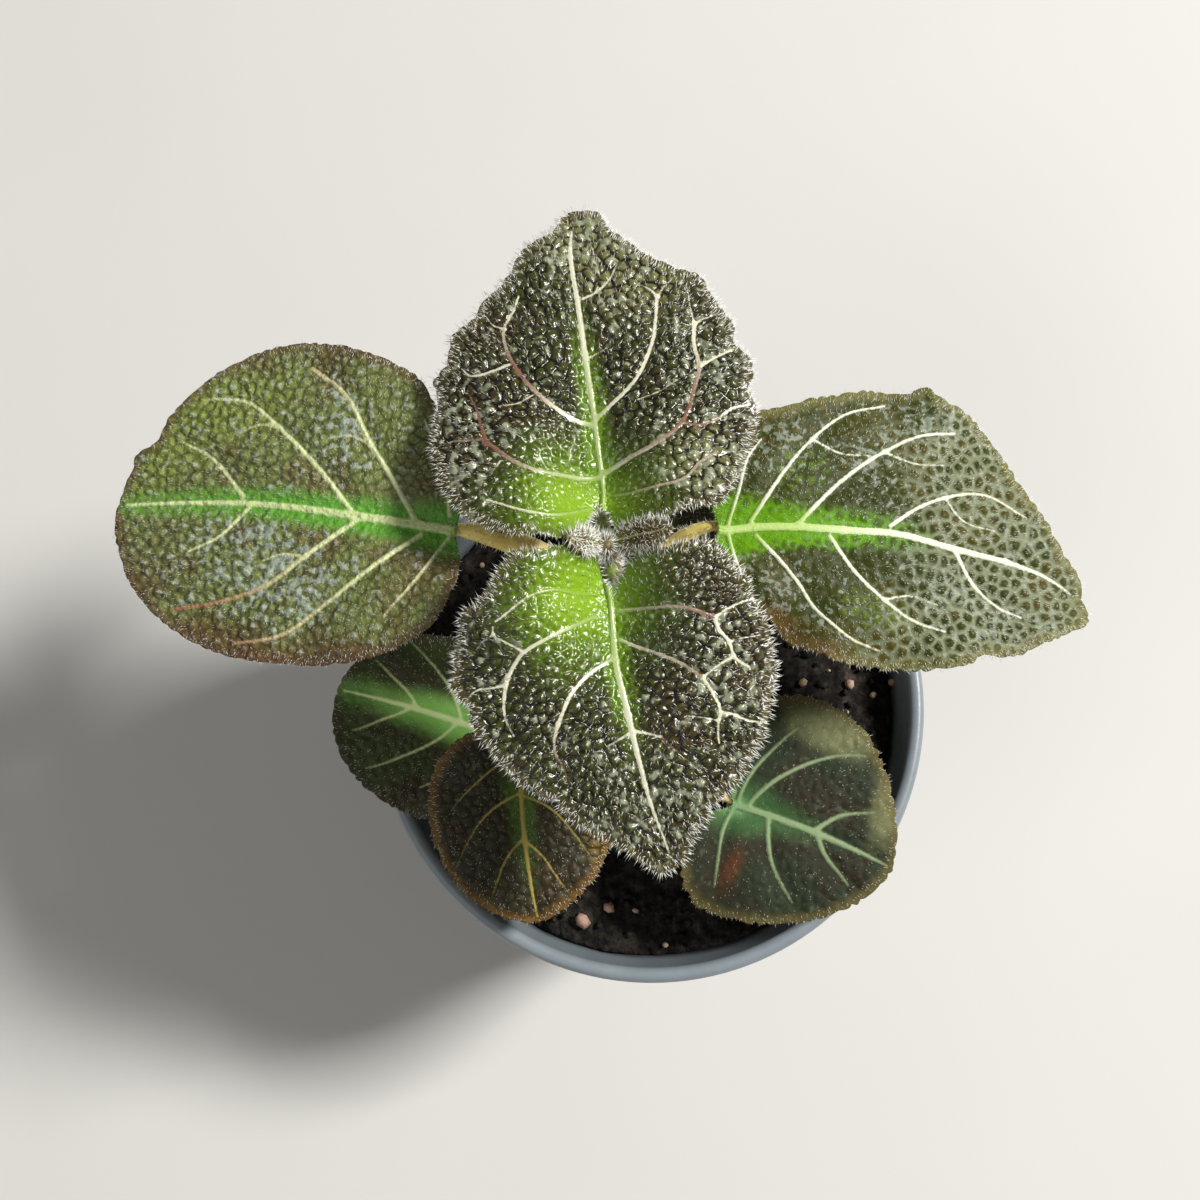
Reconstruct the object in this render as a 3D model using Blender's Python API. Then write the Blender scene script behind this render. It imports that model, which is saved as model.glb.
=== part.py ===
"""Potted pearcea: a small hairy, quilted foliage plant in a round 80 mm plastic pot.

Metres, +Z up. The origin is the middle of the pot's flat underside, +X is the plant's right
and +Y its back. Driving dimensions below are in millimetres and degrees.

Each leaf is one body: a crenate blade 0.75 mm thick with ribs under its veins and quilted
relief on both faces, and its petiole. Leaves stand in opposite pairs on the stem's swollen
nodes, and each petiole foot faces a short stub of the stem across a 0.3 mm gap.
"""
import math
from collections import namedtuple

import bmesh
import bpy
import numpy as np
from mathutils import Matrix, Vector
from mathutils.geometry import delaunay_2d_cdt

MM = 0.001
GAP = 0.3

# Pot
RIM_RADIUS = 40.0
RIM_HEIGHT = 70.0
LIP_WIDTH = 2.2
LIP_DEPTH = 4.0
LIP_CHAMFER = 0.35
LIP_STEPS = 6
FOOT_RADIUS = 28.0
FOOT_CHAMFER = 0.8
WALL = 1.2
FLOOR = 1.5
POT_SIDES = 56
DRAIN_HOLES = 6
DRAIN_RADIUS = 3.0
DRAIN_CIRCLE = 19.0
DRAIN_SIDES = 12

# Soil
SOIL_DROP = 6.5
SOIL_RINGS = 9
SOIL_SIDES = 40
SOIL_CROWN = 1.2
SOIL_EDGE_DROP = 0.5
SOIL_WALL_GAP = 0.5
SOIL_CHAMFER = 1.2
SOIL_ROUGHNESS = 0.45
CRUMBS = 26
CRUMB_RADIUS = (1.1, 2.1)
CRUMB_WALL_CLEAR = 3.5
CRUMB_STEM_CLEAR = 1.0
SOIL_SEED = 11

# Stem: a curved rod, points as (x, y, height), radius from soil to crown
STEM_ROUTE = ((-1.0, -4.2, 48.0), (-1.0, -4.2, 66.0), (-1.6, -3.0, 84.0),
              (-6.6, 14.5, 96.0), (-6.6, 14.3, 109.5))
STEM_RADIUS = (2.5, 1.5)
STEM_SIDES = 10
STEM_RINGS = 22
NODE_SWELL = 0.45
NODE_SPREAD = 1.6
STUB_LENGTH = 0.9
HOLE_SIDES = 16
HOLE_CLEARANCE = 0.35
HOLE_RISE = 4.0

# Blades
BLADE_THICK = 0.75
RIB_THICK = 0.75
RIB_WIDTH = 1.1
VEIN_RIB = 0.3
VEIN_WIDTH = 0.7
VEIN_GROOVE = 0.28
QUILT = 0.5
TOOTH_SPACING = 2.7
TOOTH_DEPTH = 0.55
NET_SPACING = 2.6
NET_CLEAR = 1.15
TIP_ROUND = 0.09
PETIOLE_SIDES = 8
PETIOLE_RINGS = 9
PETIOLE_SINK = 3.2
PETIOLE_UNDER = 0.95
LEAF_SEED = 5

# A half blade: greatest half width, where it lies along the midrib, how far its lobe reaches
# behind the petiole, how straight it runs to the tip (0.5 round, 1 or more pointed), and how
# square its lobe is (2 round)
Side = namedtuple("Side", "width widest lobe point square")

# A leaf: petiole end and stem node (heights above the ground), heading and pitch of the
# midrib, roll to the left, blade length, sideways bow of the midrib, its two halves, the
# laterals of each half as (foot on the midrib, end along it, end across it, bow), the sunken
# throat as (depth, half width, length), margin curl, wave and petiole radius
Leaf = namedtuple("Leaf", "base node heading pitch roll length bow left right "
                          "veins_left veins_right throat curl wave petiole")

LEAVES = {
    "leaf_back": Leaf(
        base=(-7.2, 19.3, 110.0), node=(-6.6, 14.3, 107.6), heading=94.6, pitch=-9.6, roll=0.0,
        length=42.0, bow=0.6,
        left=Side(19.3, 8.0, 4.6, 1.3, 3.1), right=Side(20.7, 16.0, 4.2, 1.25, 2.8),
        veins_left=((-0.5, 0.0, 13.5, -0.1), (3.2, 15.5, 15.0, -0.34),
                    (9.6, 26.6, 8.8, -0.4), (20.0, 31.0, 5.0, -0.2)),
        veins_right=((0.8, 5.6, 15.0, -0.15), (4.2, 28.0, 13.6, -0.34),
                     (11.2, 29.6, 8.0, -0.36), (27.0, 33.0, 4.6, -0.1)),
        throat=(6.0, 5.5, 13.0), curl=3.2, wave=0.7, petiole=1.25),
    "leaf_front": Leaf(
        base=(-6.4, 9.4, 110.0), node=(-6.6, 14.3, 107.6), heading=-79.0, pitch=-11.5, roll=0.0,
        length=35.5, bow=-0.6,
        left=Side(18.6, 11.5, 4.2, 1.2, 2.5), right=Side(19.4, 6.5, 5.0, 1.25, 2.4),
        veins_left=((1.4, 12.4, 15.2, -0.36), (6.0, 19.6, 10.4, -0.34), (16.6, 22.0, 5.2, -0.15)),
        veins_right=((-0.5, 0.8, 14.0, -0.12), (2.2, 11.8, 14.4, -0.34),
                     (7.9, 19.0, 9.0, -0.4), (16.6, 18.4, 4.0, -0.05)),
        throat=(6.0, 5.5, 12.0), curl=3.0, wave=0.7, petiole=1.25),
    "leaf_left": Leaf(
        base=(-25.4, 17.2, 106.0), node=(-5.9, 11.8, 99.5), heading=174.3, pitch=-10.0, roll=0.0,
        length=45.8, bow=-1.4,
        left=Side(19.4, 22.0, 2.0, 0.57, 2.4), right=Side(22.9, 22.0, 1.2, 0.75, 2.2),
        veins_left=((0.6, 7.6, 13.0, -0.05), (4.0, 26.6, 18.0, -0.22),
                    (13.0, 35.6, 13.8, -0.2), (27.4, 36.0, 7.4, -0.1)),
        veins_right=((1.0, 6.8, 17.0, -0.1), (5.2, 25.4, 18.8, -0.32),
                     (13.0, 35.0, 14.2, -0.3), (28.0, 38.4, 8.8, -0.12)),
        throat=(1.8, 4.5, 9.0), curl=2.6, wave=0.5, petiole=1.3),
    "leaf_right": Leaf(
        base=(7.3, 17.2, 107.0), node=(-5.9, 11.8, 99.5), heading=-11.8, pitch=-10.5, roll=-3.0,
        length=50.0, bow=4.0,
        left=Side(20.5, 22.5, 3.6, 1.1, 2.1), right=Side(16.1, 20.5, 1.2, 1.05, 1.95),
        veins_left=((1.0, 3.4, 11.8, -0.12), (3.8, 19.0, 17.2, -0.22),
                    (9.8, 29.0, 15.7, -0.22), (21.8, 39.6, 8.6, -0.3)),
        veins_right=((1.0, 3.8, 7.8, 0.0), (4.6, 22.6, 14.0, -0.2),
                     (14.2, 31.6, 10.6, -0.22), (30.4, 41.0, 5.4, -0.16)),
        throat=(1.6, 4.0, 8.0), curl=2.4, wave=0.9, petiole=1.3),
    "leaf_low_left": Leaf(
        base=(-20.5, -6.2, 74.0), node=(-1.0, -4.2, 71.0), heading=163.0, pitch=1.5, roll=0.0,
        length=25.4, bow=-0.6,
        left=Side(14.4, 8.6, 3.0, 0.5, 2.4), right=Side(11.4, 10.0, 3.0, 0.55, 2.4),
        veins_left=((1.4, 9.4, 9.8, -0.15), (7.6, 17.4, 9.4, -0.18), (14.6, 21.2, 5.0, -0.1)),
        veins_right=((1.4, 8.0, 8.6, -0.15), (7.0, 17.2, 8.6, -0.18), (13.6, 21.2, 5.0, -0.1)),
        throat=(0.8, 3.0, 6.0), curl=1.2, wave=0.3, petiole=1.0),
    "leaf_low_front": Leaf(
        base=(-18.0, -7.6, 83.0), node=(-1.2, -3.7, 79.0), heading=-84.7, pitch=-15.0, roll=0.0,
        length=24.7, bow=-0.8,
        left=Side(11.8, 12.0, 2.4, 0.85, 2.4), right=Side(12.8, 8.0, 3.4, 0.55, 2.7),
        veins_left=((1.2, 8.4, 8.6, -0.2), (6.6, 15.8, 8.2, -0.22), (13.0, 20.4, 4.6, -0.1)),
        veins_right=((1.2, 7.6, 9.2, -0.2), (6.2, 15.4, 9.2, -0.22), (12.4, 20.2, 5.4, -0.1)),
        throat=(1.0, 3.0, 6.0), curl=1.8, wave=0.4, petiole=1.0),
    "leaf_low_right": Leaf(
        base=(11.1, -15.2, 77.0), node=(-1.0, -4.2, 71.0), heading=-21.4, pitch=-6.0, roll=0.0,
        length=24.3, bow=0.6,
        left=Side(17.8, 6.5, 4.2, 0.7, 2.6), right=Side(15.2, 3.0, 5.6, 0.7, 2.4),
        veins_left=((0.6, 4.6, 12.2, -0.2), (2.0, 14.6, 12.0, -0.28), (11.8, 18.8, 5.6, -0.15)),
        veins_right=((0.4, 1.6, 11.0, -0.15), (5.2, 12.2, 9.6, -0.2), (12.4, 18.8, 4.6, -0.12)),
        throat=(1.2, 3.4, 7.0), curl=1.6, wave=0.4, petiole=1.1),
    "leaf_low_back": Leaf(
        base=(0.6, 11.6, 80.5), node=(-1.2, -3.7, 79.0), heading=83.0, pitch=-6.0, roll=0.0,
        length=25.0, bow=0.8,
        left=Side(11.8, 9.0, 2.4, 0.6, 2.4), right=Side(12.2, 9.5, 2.4, 0.6, 2.4),
        veins_left=((1.2, 8.0, 8.6, -0.2), (6.2, 15.6, 8.4, -0.22), (12.4, 20.6, 4.8, -0.1)),
        veins_right=((1.2, 8.2, 8.8, -0.2), (6.6, 15.8, 8.6, -0.22), (13.0, 20.8, 4.8, -0.1)),
        throat=(1.0, 3.0, 6.0), curl=1.6, wave=0.4, petiole=1.0),
}

# The two very young leaves that stand on the stem's end
TIP_SEAT = (-6.6, 14.3, 109.9)
TIP_SEAT_RADIUS = 1.5
TIP_SEAT_HEIGHT = 2.4
TIP_LEAVES = (
    Leaf(base=(-6.1, 14.75, 111.6), node=None, heading=4.0, pitch=48.0, roll=0.0, length=7.6, bow=0.0,
         left=Side(1.05, 3.0, 0.3, 0.8, 2.0), right=Side(1.05, 3.0, 0.3, 0.8, 2.0),
         veins_left=(), veins_right=(), throat=(0.3, 1.5, 2.0), curl=0.6, wave=0.0, petiole=0.9),
    Leaf(base=(-7.1, 14.4, 111.6), node=None, heading=180.0, pitch=56.0, roll=0.0, length=6.0, bow=0.0,
         left=Side(1.5, 2.4, 0.4, 0.8, 2.0), right=Side(1.5, 2.4, 0.4, 0.8, 2.0),
         veins_left=(), veins_right=(), throat=(0.3, 1.5, 2.0), curl=0.5, wave=0.0, petiole=0.9),
)
TIP_TOOTH_SPACING = 1.5
TIP_TOOTH_DEPTH = 0.15

# Colours as linear red, green, blue
MATERIALS = {
    "pot_plastic": ((0.28, 0.33, 0.37), 0.35),
    "potting_soil": ((0.012, 0.010, 0.009), 0.95),
    "stem_skin": ((0.30, 0.32, 0.12), 0.6),
    "leaf_dark": ((0.055, 0.075, 0.028), 0.5),
    "leaf_shade": ((0.045, 0.080, 0.040), 0.5),
    "leaf_young": ((0.16, 0.13, 0.06), 0.6),
}


def clear_scene():
    for thing in list(bpy.data.objects):
        bpy.data.objects.remove(thing, do_unlink=True)


def material(name):
    colour, roughness = MATERIALS[name]
    made = bpy.data.materials.get(name) or bpy.data.materials.new(name)
    made.use_nodes = True
    shader = made.node_tree.nodes["Principled BSDF"]
    shader.inputs["Base Color"].default_value = (*colour, 1.0)
    shader.inputs["Roughness"].default_value = roughness
    shader.inputs["Metallic"].default_value = 0.0
    return made


def mesh_object(name, points, faces, finish):
    """A closed mesh from points in millimetres, wound so that its faces point out."""
    mesh = bpy.data.meshes.new(name)
    mesh.from_pydata([Vector(point) * MM for point in points], [], faces)
    shell = bmesh.new()
    shell.from_mesh(mesh)
    bmesh.ops.recalc_face_normals(shell, faces=shell.faces)
    shell.to_mesh(mesh)
    shell.free()
    mesh.materials.append(material(finish))
    thing = bpy.data.objects.new(name, mesh)
    bpy.context.scene.collection.objects.link(thing)
    return thing


def join(body, others, operation="UNION", solver="EXACT"):
    """Boolean each of the others with the body, apply it, and remove them."""
    for other in others:
        step = body.modifiers.new("join", "BOOLEAN")
        step.operation = operation
        step.solver = solver
        step.object = other
        evaluated = body.evaluated_get(bpy.context.evaluated_depsgraph_get())
        result = bpy.data.meshes.new_from_object(evaluated)
        body.modifiers.clear()
        body.data = result
        bpy.data.objects.remove(other, do_unlink=True)


def smooth(thing, angle=50.0):
    thing.data.shade_smooth()
    thing.data.set_sharp_from_angle(angle=math.radians(angle))


def revolve(profile, sides):
    """Points and faces of a profile of (radius, height) turned about +Z; a radius of 0 is a pole."""
    points, rings = [], []
    for radius, height in profile:
        if radius == 0.0:
            rings.append([len(points)] * sides)
            points.append((0.0, 0.0, height))
            continue
        rings.append([len(points) + i for i in range(sides)])
        points += [(radius * math.cos(math.tau * i / sides), radius * math.sin(math.tau * i / sides), height)
                   for i in range(sides)]
    faces = []
    for low, high in zip(rings, rings[1:]):
        for i in range(sides):
            corners = (low[i], low[(i + 1) % sides], high[(i + 1) % sides], high[i])
            faces.append(tuple(dict.fromkeys(corners)))
    return points, faces


def bezier(route, amount):
    """Points of the smooth curve that the route's points pull on, by repeated halfway mixing."""
    share = np.linspace(0.0, 1.0, amount)[:, None]
    level = [np.tile(np.array(point, dtype=float), (amount, 1)) for point in route]
    while len(level) > 1:
        level = [(1.0 - share) * a + share * b for a, b in zip(level, level[1:])]
    return level[0]


def tube(path, radii, sides):
    """Points and faces of a round tube with flat ends, carried along the path without twist."""
    tangents = np.gradient(path, axis=0, edge_order=min(2, len(path) - 1))
    tangents /= np.linalg.norm(tangents, axis=1)[:, None]
    across = np.cross(tangents[0], (0.3, 0.2, 0.93) if abs(tangents[0][2]) < 0.9 else (0.0, 1.0, 0.0))
    points = []
    for centre, along, radius in zip(path, tangents, radii):
        across = across - along * np.dot(across, along)
        across /= np.linalg.norm(across)
        other = np.cross(along, across)
        for i in range(sides):
            turn = math.tau * i / sides
            points.append(tuple(centre + radius * (math.cos(turn) * across + math.sin(turn) * other)))
    faces = [tuple(range(sides))[::-1], tuple(range(len(points) - sides, len(points)))]
    for ring in range(len(path) - 1):
        for i in range(sides):
            a, b = ring * sides + i, ring * sides + (i + 1) % sides
            faces.append((a, b, b + sides, a + sides))
    return points, faces


def half_outline(side, length, amount):
    """Half of a blade's edge, from the petiole to the tip, as (along, across), evenly spaced.

    Behind the widest place it is a superellipse that ends in the lobe, pulled in to the petiole
    by a narrow bell. In front of it the half width is width * (1 - share^2.15)^point, and a
    small round is added to the square of it at the tip."""
    turn = np.linspace(0.0, math.pi / 2.0, 160)
    across = side.width * np.sin(turn) ** (2.0 / side.square)
    along = side.widest - (side.widest + side.lobe) * np.cos(turn) ** (2.0 / side.square)
    notch = 0.16 * side.width
    along = along + side.lobe * np.exp(-(across / notch) ** 2)
    share = np.sin(turn)[1:]
    front_along = side.widest + (length - side.widest) * share
    front_across = side.width * (1.0 - share ** 2.15) ** side.point
    front_across = np.sqrt(front_across ** 2 + (TIP_ROUND * side.width) ** 2 * (1.0 - share ** 16))
    edge = np.c_[np.r_[along, front_along], np.r_[across, front_across]]
    walked = np.r_[0.0, np.cumsum(np.linalg.norm(np.diff(edge, axis=0), axis=1))]
    places = np.linspace(0.0, walked[-1], amount)
    return np.c_[np.interp(places, walked, edge[:, 0]), np.interp(places, walked, edge[:, 1])]


def midrib_bow(leaf, along):
    """Sideways place of the midrib: a flat arc that is zero at the petiole and at the tip."""
    share = np.clip(along / leaf.length, 0.0, 1.0)
    return leaf.bow * 4.0 * share * (1.0 - share)


def blade_edge(leaf, spacing, depth):
    """The whole edge, anticlockwise from the petiole: two points a tooth, tip out and notch in."""
    halves = []
    for side, sign in ((leaf.right, -1.0), (leaf.left, 1.0)):
        rough = half_outline(side, leaf.length, 200)
        walk = np.linalg.norm(np.diff(rough, axis=0), axis=1).sum()
        amount = 2 * max(4, round(walk / spacing)) + 1
        half = half_outline(side, leaf.length, amount)
        slope = np.gradient(half, axis=0)
        outward = np.c_[-slope[:, 1], slope[:, 0]] / np.linalg.norm(slope, axis=1)[:, None]
        teeth = np.where(np.arange(amount) % 2 == 1, 0.5, -0.5) * depth
        teeth[:2] = 0.0
        teeth[-1] = 0.5 * depth
        half = half + outward * teeth[:, None]
        half[:, 1] = np.maximum(half[:, 1], 0.0)
        half[0, 1] = 0.0
        half[-1, 1] = 0.0
        half[:, 1] = half[:, 1] * sign + midrib_bow(leaf, half[:, 0])
        halves.append(half)
    right, left = halves
    return np.r_[right, left[-2:0:-1]]


def vein_paths(leaf):
    """The midrib and the laterals as paths in the blade's plane. A lateral is a smooth bend from
    its foot to its end, whose pulling point stands off the straight line by bow times its length."""
    along = np.linspace(0.0, leaf.length - 1.5, 15)
    paths = [np.c_[along, midrib_bow(leaf, along)]]
    for veins, sign in ((leaf.veins_left, 1.0), (leaf.veins_right, -1.0)):
        for foot, end_along, end_across, bow in veins:
            start = np.array((foot, 0.0))
            end = np.array((end_along, end_across))
            straight = end - start
            pull = 0.5 * (start + end) + bow * np.array((straight[1], -straight[0]))
            path = bezier((start, pull, end), 9)
            path[:, 1] = path[:, 1] * sign + midrib_bow(leaf, path[:, 0])
            paths.append(path)
    return paths


def distance_to_path(places, path):
    """Shortest distance from each place to the path's straight pieces."""
    best = np.full(len(places), np.inf)
    for start, end in zip(path, path[1:]):
        span = end - start
        share = np.clip((places - start) @ span / (span @ span), 0.0, 1.0)
        best = np.minimum(best, np.linalg.norm(places - start - share[:, None] * span, axis=1))
    return best


def lift(leaf, along, across):
    """Height of the blade over its midrib line: a throat that sinks to the petiole, a fall from
    the shoulders to the tip, a margin that curls down, and a slow wave along the margin."""
    depth, half_width, reach = leaf.throat
    from_rib = across - midrib_bow(leaf, along)
    sunk = np.exp(-(from_rib / half_width) ** 2) * np.exp(-(along / reach) ** 2)
    share = along / leaf.length
    width = np.where(from_rib > 0.0, leaf.left.width, leaf.right.width)
    edge = np.minimum(np.abs(from_rib) / width, 1.2)
    turn = np.arctan2(from_rib, along - 0.35 * leaf.length)
    ripple = leaf.wave * edge ** 3 * (np.sin(7.0 * turn) + 0.5 * np.sin(11.0 * turn + 1.3))
    return depth * (1.0 - sunk) - depth * np.sign(share) * share ** 2 - leaf.curl * edge ** 3 + ripple


def steepness(leaf, along, across):
    """Length of the surface normal over a unit of height, from small steps along and across."""
    step = 0.1
    slope_along = (lift(leaf, along + step, across) - lift(leaf, along - step, across)) / (2.0 * step)
    slope_across = (lift(leaf, along, across + step) - lift(leaf, along, across - step)) / (2.0 * step)
    return np.sqrt(1.0 + slope_along ** 2 + slope_across ** 2)


def placement(leaf):
    """Turns and moves a blade from its own frame (midrib along +X, face up) to its place."""
    return (Matrix.Translation(Vector(leaf.base))
            @ Matrix.Rotation(math.radians(leaf.heading), 4, "Z")
            @ Matrix.Rotation(math.radians(-leaf.pitch), 4, "Y")
            @ Matrix.Rotation(math.radians(leaf.roll), 4, "X"))


def inside(places, edge):
    """Which places lie inside the closed edge, by counting crossings."""
    following = np.roll(edge, -1, axis=0)
    found = np.zeros(len(places), dtype=bool)
    for (x0, y0), (x1, y1) in zip(edge, following):
        if y0 == y1:
            continue
        crosses = (y0 > places[:, 1]) != (y1 > places[:, 1])
        found ^= crosses & (places[:, 0] < x0 + (places[:, 1] - y0) * (x1 - x0) / (y1 - y0))
    return found


def quilt_places(leaf, edge, paths, spacing, draw):
    """Tops of the quilted cushions: a jittered triangular grid, clear of veins and margin."""
    rows = np.arange(-leaf.right.width, leaf.left.width, spacing * 0.866)
    columns = np.arange(-8.0, leaf.length, spacing)
    grid = np.array([(x + (0.5 * spacing if row % 2 else 0.0), y)
                     for row, y in enumerate(rows) for x in columns])
    grid = grid + draw.uniform(-0.22, 0.22, grid.shape) * spacing
    grid = grid[inside(grid, edge)]
    closed = np.r_[edge, edge[:1]]
    keep = distance_to_path(grid, closed) > NET_CLEAR
    for path in paths:
        keep &= distance_to_path(grid, path) > NET_CLEAR
    return grid[keep]


def blade(name, leaf, finish, draw, spacing=TOOTH_SPACING, depth=TOOTH_DEPTH, net=NET_SPACING):
    """A closed blade: one triangulation of the outline shared by both faces, so that they never
    cross, with cushions up, veins down on the upper face, and ribs below."""
    edge = blade_edge(leaf, spacing, depth)
    paths = vein_paths(leaf)
    on_veins = np.concatenate([path[1 if i else 0::2] for i, path in enumerate(paths)])
    closed = np.r_[edge, edge[:1]]
    on_veins = on_veins[inside(on_veins, edge) & (distance_to_path(on_veins, closed) > 0.8)]
    crowded = [np.linalg.norm(on_veins[:i] - on_veins[i], axis=1).min(initial=9.0) < 0.9
               for i in range(len(on_veins))]
    on_veins = on_veins[~np.array(crowded)]
    cushions = quilt_places(leaf, edge, paths, net, draw)
    places = np.r_[edge, on_veins, cushions]
    rim = [(i, (i + 1) % len(edge)) for i in range(len(edge))]
    found = delaunay_2d_cdt([Vector(place) for place in places], rim, [], 1, 1e-5)
    flat, _, triangles, _, _, _ = found
    flat = np.array([tuple(place) for place in flat])

    nearest = np.min([distance_to_path(flat, path) for path in paths], axis=0)
    to_rib = distance_to_path(flat, paths[0])
    to_edge = distance_to_path(flat, closed)
    height = lift(leaf, flat[:, 0], flat[:, 1])
    cushion = (nearest > 0.5 * NET_CLEAR) & (to_edge > 0.5 * NET_CLEAR)
    height = height + np.where(cushion, draw.uniform(-0.25, 1.0, len(flat)) * QUILT, 0.0)
    height = height - VEIN_GROOVE * np.exp(-(nearest / VEIN_WIDTH) ** 2)
    fade = np.clip(1.0 - flat[:, 0] / leaf.length, 0.0, 1.0)
    thick = BLADE_THICK + VEIN_RIB * np.exp(-(nearest / VEIN_WIDTH) ** 2)
    thick = thick + RIB_THICK * fade * np.exp(-(to_rib / RIB_WIDTH) ** 2)
    thick = thick * steepness(leaf, flat[:, 0], flat[:, 1])

    count = len(flat)
    upper = np.c_[flat, height]
    lower = np.c_[flat, height - thick]
    faces = [tuple(face) for face in triangles]
    faces += [tuple(index + count for index in reversed(face)) for face in triangles]
    uses = {}
    for face in triangles:
        for a, b in zip(face, list(face[1:]) + [face[0]]):
            uses[(a, b)] = True
    for a, b in uses:
        if (b, a) not in uses:
            faces += [(b, a, a + count), (b, a + count, b + count)]
    turn = placement(leaf)
    points = [turn @ Vector(point) for point in np.r_[upper, lower]]
    return mesh_object(name, points, faces, finish)


def stem_path():
    return bezier(STEM_ROUTE, STEM_RINGS)


def stem_radius(heights):
    """Radius by height: an even taper, swollen by a bell at each leaf node."""
    low, high = STEM_ROUTE[0][2], STEM_ROUTE[-1][2]
    share = (heights - low) / (high - low)
    radius = STEM_RADIUS[0] + (STEM_RADIUS[1] - STEM_RADIUS[0]) * share
    for height in sorted({leaf.node[2] for leaf in LEAVES.values()}):
        radius = radius + NODE_SWELL * np.exp(-((heights - height) / NODE_SPREAD) ** 2)
    return radius


def stem_place(height):
    """The stem's middle at a height."""
    path = bezier(STEM_ROUTE, 200)
    return np.array([np.interp(height, path[:, 2], path[:, axis]) for axis in range(3)])


def petiole_route(leaf):
    """Foot, two pulling points and end of a petiole. It leaves the stem square to its foot and
    runs into the blade's rib from below."""
    middle = stem_place(leaf.node[2])
    end = np.array(placement(leaf) @ Vector((PETIOLE_SINK, float(midrib_bow(leaf, PETIOLE_SINK)),
                                             float(lift(leaf, PETIOLE_SINK, 0.0)) - PETIOLE_UNDER)))
    back = np.array(placement(leaf) @ Vector((0.0, 0.0, -PETIOLE_UNDER)))
    out = back - middle
    out[2] = 0.35 * out[2]
    out /= np.linalg.norm(out)
    skin = float(stem_radius(np.array([leaf.node[2]]))[0])
    foot = middle + out * (skin + STUB_LENGTH + GAP)
    span = np.linalg.norm(end - foot)
    into = np.array(placement(leaf).to_3x3() @ Vector((1.0, 0.0, 0.0)))
    return (foot, foot + out * 0.35 * span, end - into * 0.4 * span, end), middle, out, skin


def petiole(name, leaf, finish):
    route, _, _, _ = petiole_route(leaf)
    path = bezier(route, PETIOLE_RINGS)
    radii = np.linspace(leaf.petiole, 0.72 * leaf.petiole, PETIOLE_RINGS)
    radii[-1] *= 0.7
    return mesh_object(name, *tube(path, radii, PETIOLE_SIDES), finish)


def make_leaf(name, leaf, draw):
    finish = "leaf_shade" if "_low_" in name else "leaf_dark"
    body = blade(name, leaf, finish, draw)
    join(body, [petiole(name + "_petiole", leaf, finish)])
    smooth(body)
    return body


def make_stem():
    path = stem_path()
    body = mesh_object("stem", *tube(path, stem_radius(path[:, 2]), STEM_SIDES), "stem_skin")
    stubs = []
    for name, leaf in LEAVES.items():
        _, middle, out, skin = petiole_route(leaf)
        line = np.array([middle + out * reach for reach in (0.3 * skin, skin + STUB_LENGTH)])
        shape = tube(line, (leaf.petiole, leaf.petiole), PETIOLE_SIDES)
        stubs.append(mesh_object(name + "_stub", *shape, "stem_skin"))
    join(body, stubs)
    smooth(body)


def make_tip_leaves(draw):
    """The young pair and the short piece of stem that carries it, in one body."""
    seat = np.array(TIP_SEAT)
    line = np.array([seat, seat + (0.0, 0.0, TIP_SEAT_HEIGHT)])
    shape = tube(line, (TIP_SEAT_RADIUS, 0.8 * TIP_SEAT_RADIUS), STEM_SIDES)
    body = mesh_object("tip_leaves", *shape, "leaf_young")
    blades = [blade("tip_blade_%d" % i, leaf, "leaf_young", draw, TIP_TOOTH_SPACING, TIP_TOOTH_DEPTH, 2.2)
              for i, leaf in enumerate(TIP_LEAVES)]
    join(body, blades)
    smooth(body)


def pot_inner_radius(height):
    """Inside radius of the pot's tapered wall."""
    top = RIM_RADIUS - LIP_WIDTH
    bottom = FOOT_RADIUS - WALL
    return bottom + (top - bottom) * height / RIM_HEIGHT


def make_pot():
    """Tapered cup with a rounded lip, a flat foot and drain holes round a solid middle."""
    top = RIM_HEIGHT
    lip_low = top - LIP_DEPTH
    round_off = 0.5 * LIP_WIDTH
    outer = [(0.0, 0.0), (FOOT_RADIUS - FOOT_CHAMFER, 0.0), (FOOT_RADIUS, FOOT_CHAMFER)]
    under_lip = pot_inner_radius(lip_low) + WALL
    outer += [(under_lip, lip_low), (RIM_RADIUS - LIP_CHAMFER, lip_low), (RIM_RADIUS, lip_low + LIP_CHAMFER)]
    middle = RIM_RADIUS - round_off
    outer += [(middle + round_off * math.cos(turn), top - round_off + round_off * math.sin(turn))
              for turn in np.linspace(0.0, math.pi, LIP_STEPS)]
    inner = [(pot_inner_radius(FLOOR + FOOT_CHAMFER), FLOOR + FOOT_CHAMFER),
             (pot_inner_radius(FLOOR) - FOOT_CHAMFER, FLOOR), (0.0, FLOOR)]
    body = mesh_object("pot", *revolve(outer + inner, POT_SIDES), "pot_plastic")
    cutters = []
    for i in range(DRAIN_HOLES):
        turn = math.tau * (i + 0.5) / DRAIN_HOLES
        x, y = DRAIN_CIRCLE * math.cos(turn), DRAIN_CIRCLE * math.sin(turn)
        line = np.array([(x, y, -1.0), (x, y, FLOOR + 1.0)])
        shape = tube(line, (DRAIN_RADIUS, DRAIN_RADIUS), DRAIN_SIDES)
        cutters.append(mesh_object("drain_%d" % i, *shape, "pot_plastic"))
    join(body, cutters, "DIFFERENCE", "MANIFOLD")
    smooth(body, 40.0)


def soil_height(x, y):
    """Top of the soil: a little high round the stem, with broad hummocks, low at the wall."""
    reach = np.hypot(x, y) / RIM_RADIUS
    hummocks = np.sin(0.31 * x + 0.8) * np.cos(0.27 * y - 0.4) + 0.6 * np.sin(0.52 * x - 0.47 * y)
    return RIM_HEIGHT - SOIL_DROP + SOIL_CROWN * (1.0 - reach ** 2) + SOIL_ROUGHNESS * hummocks


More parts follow.
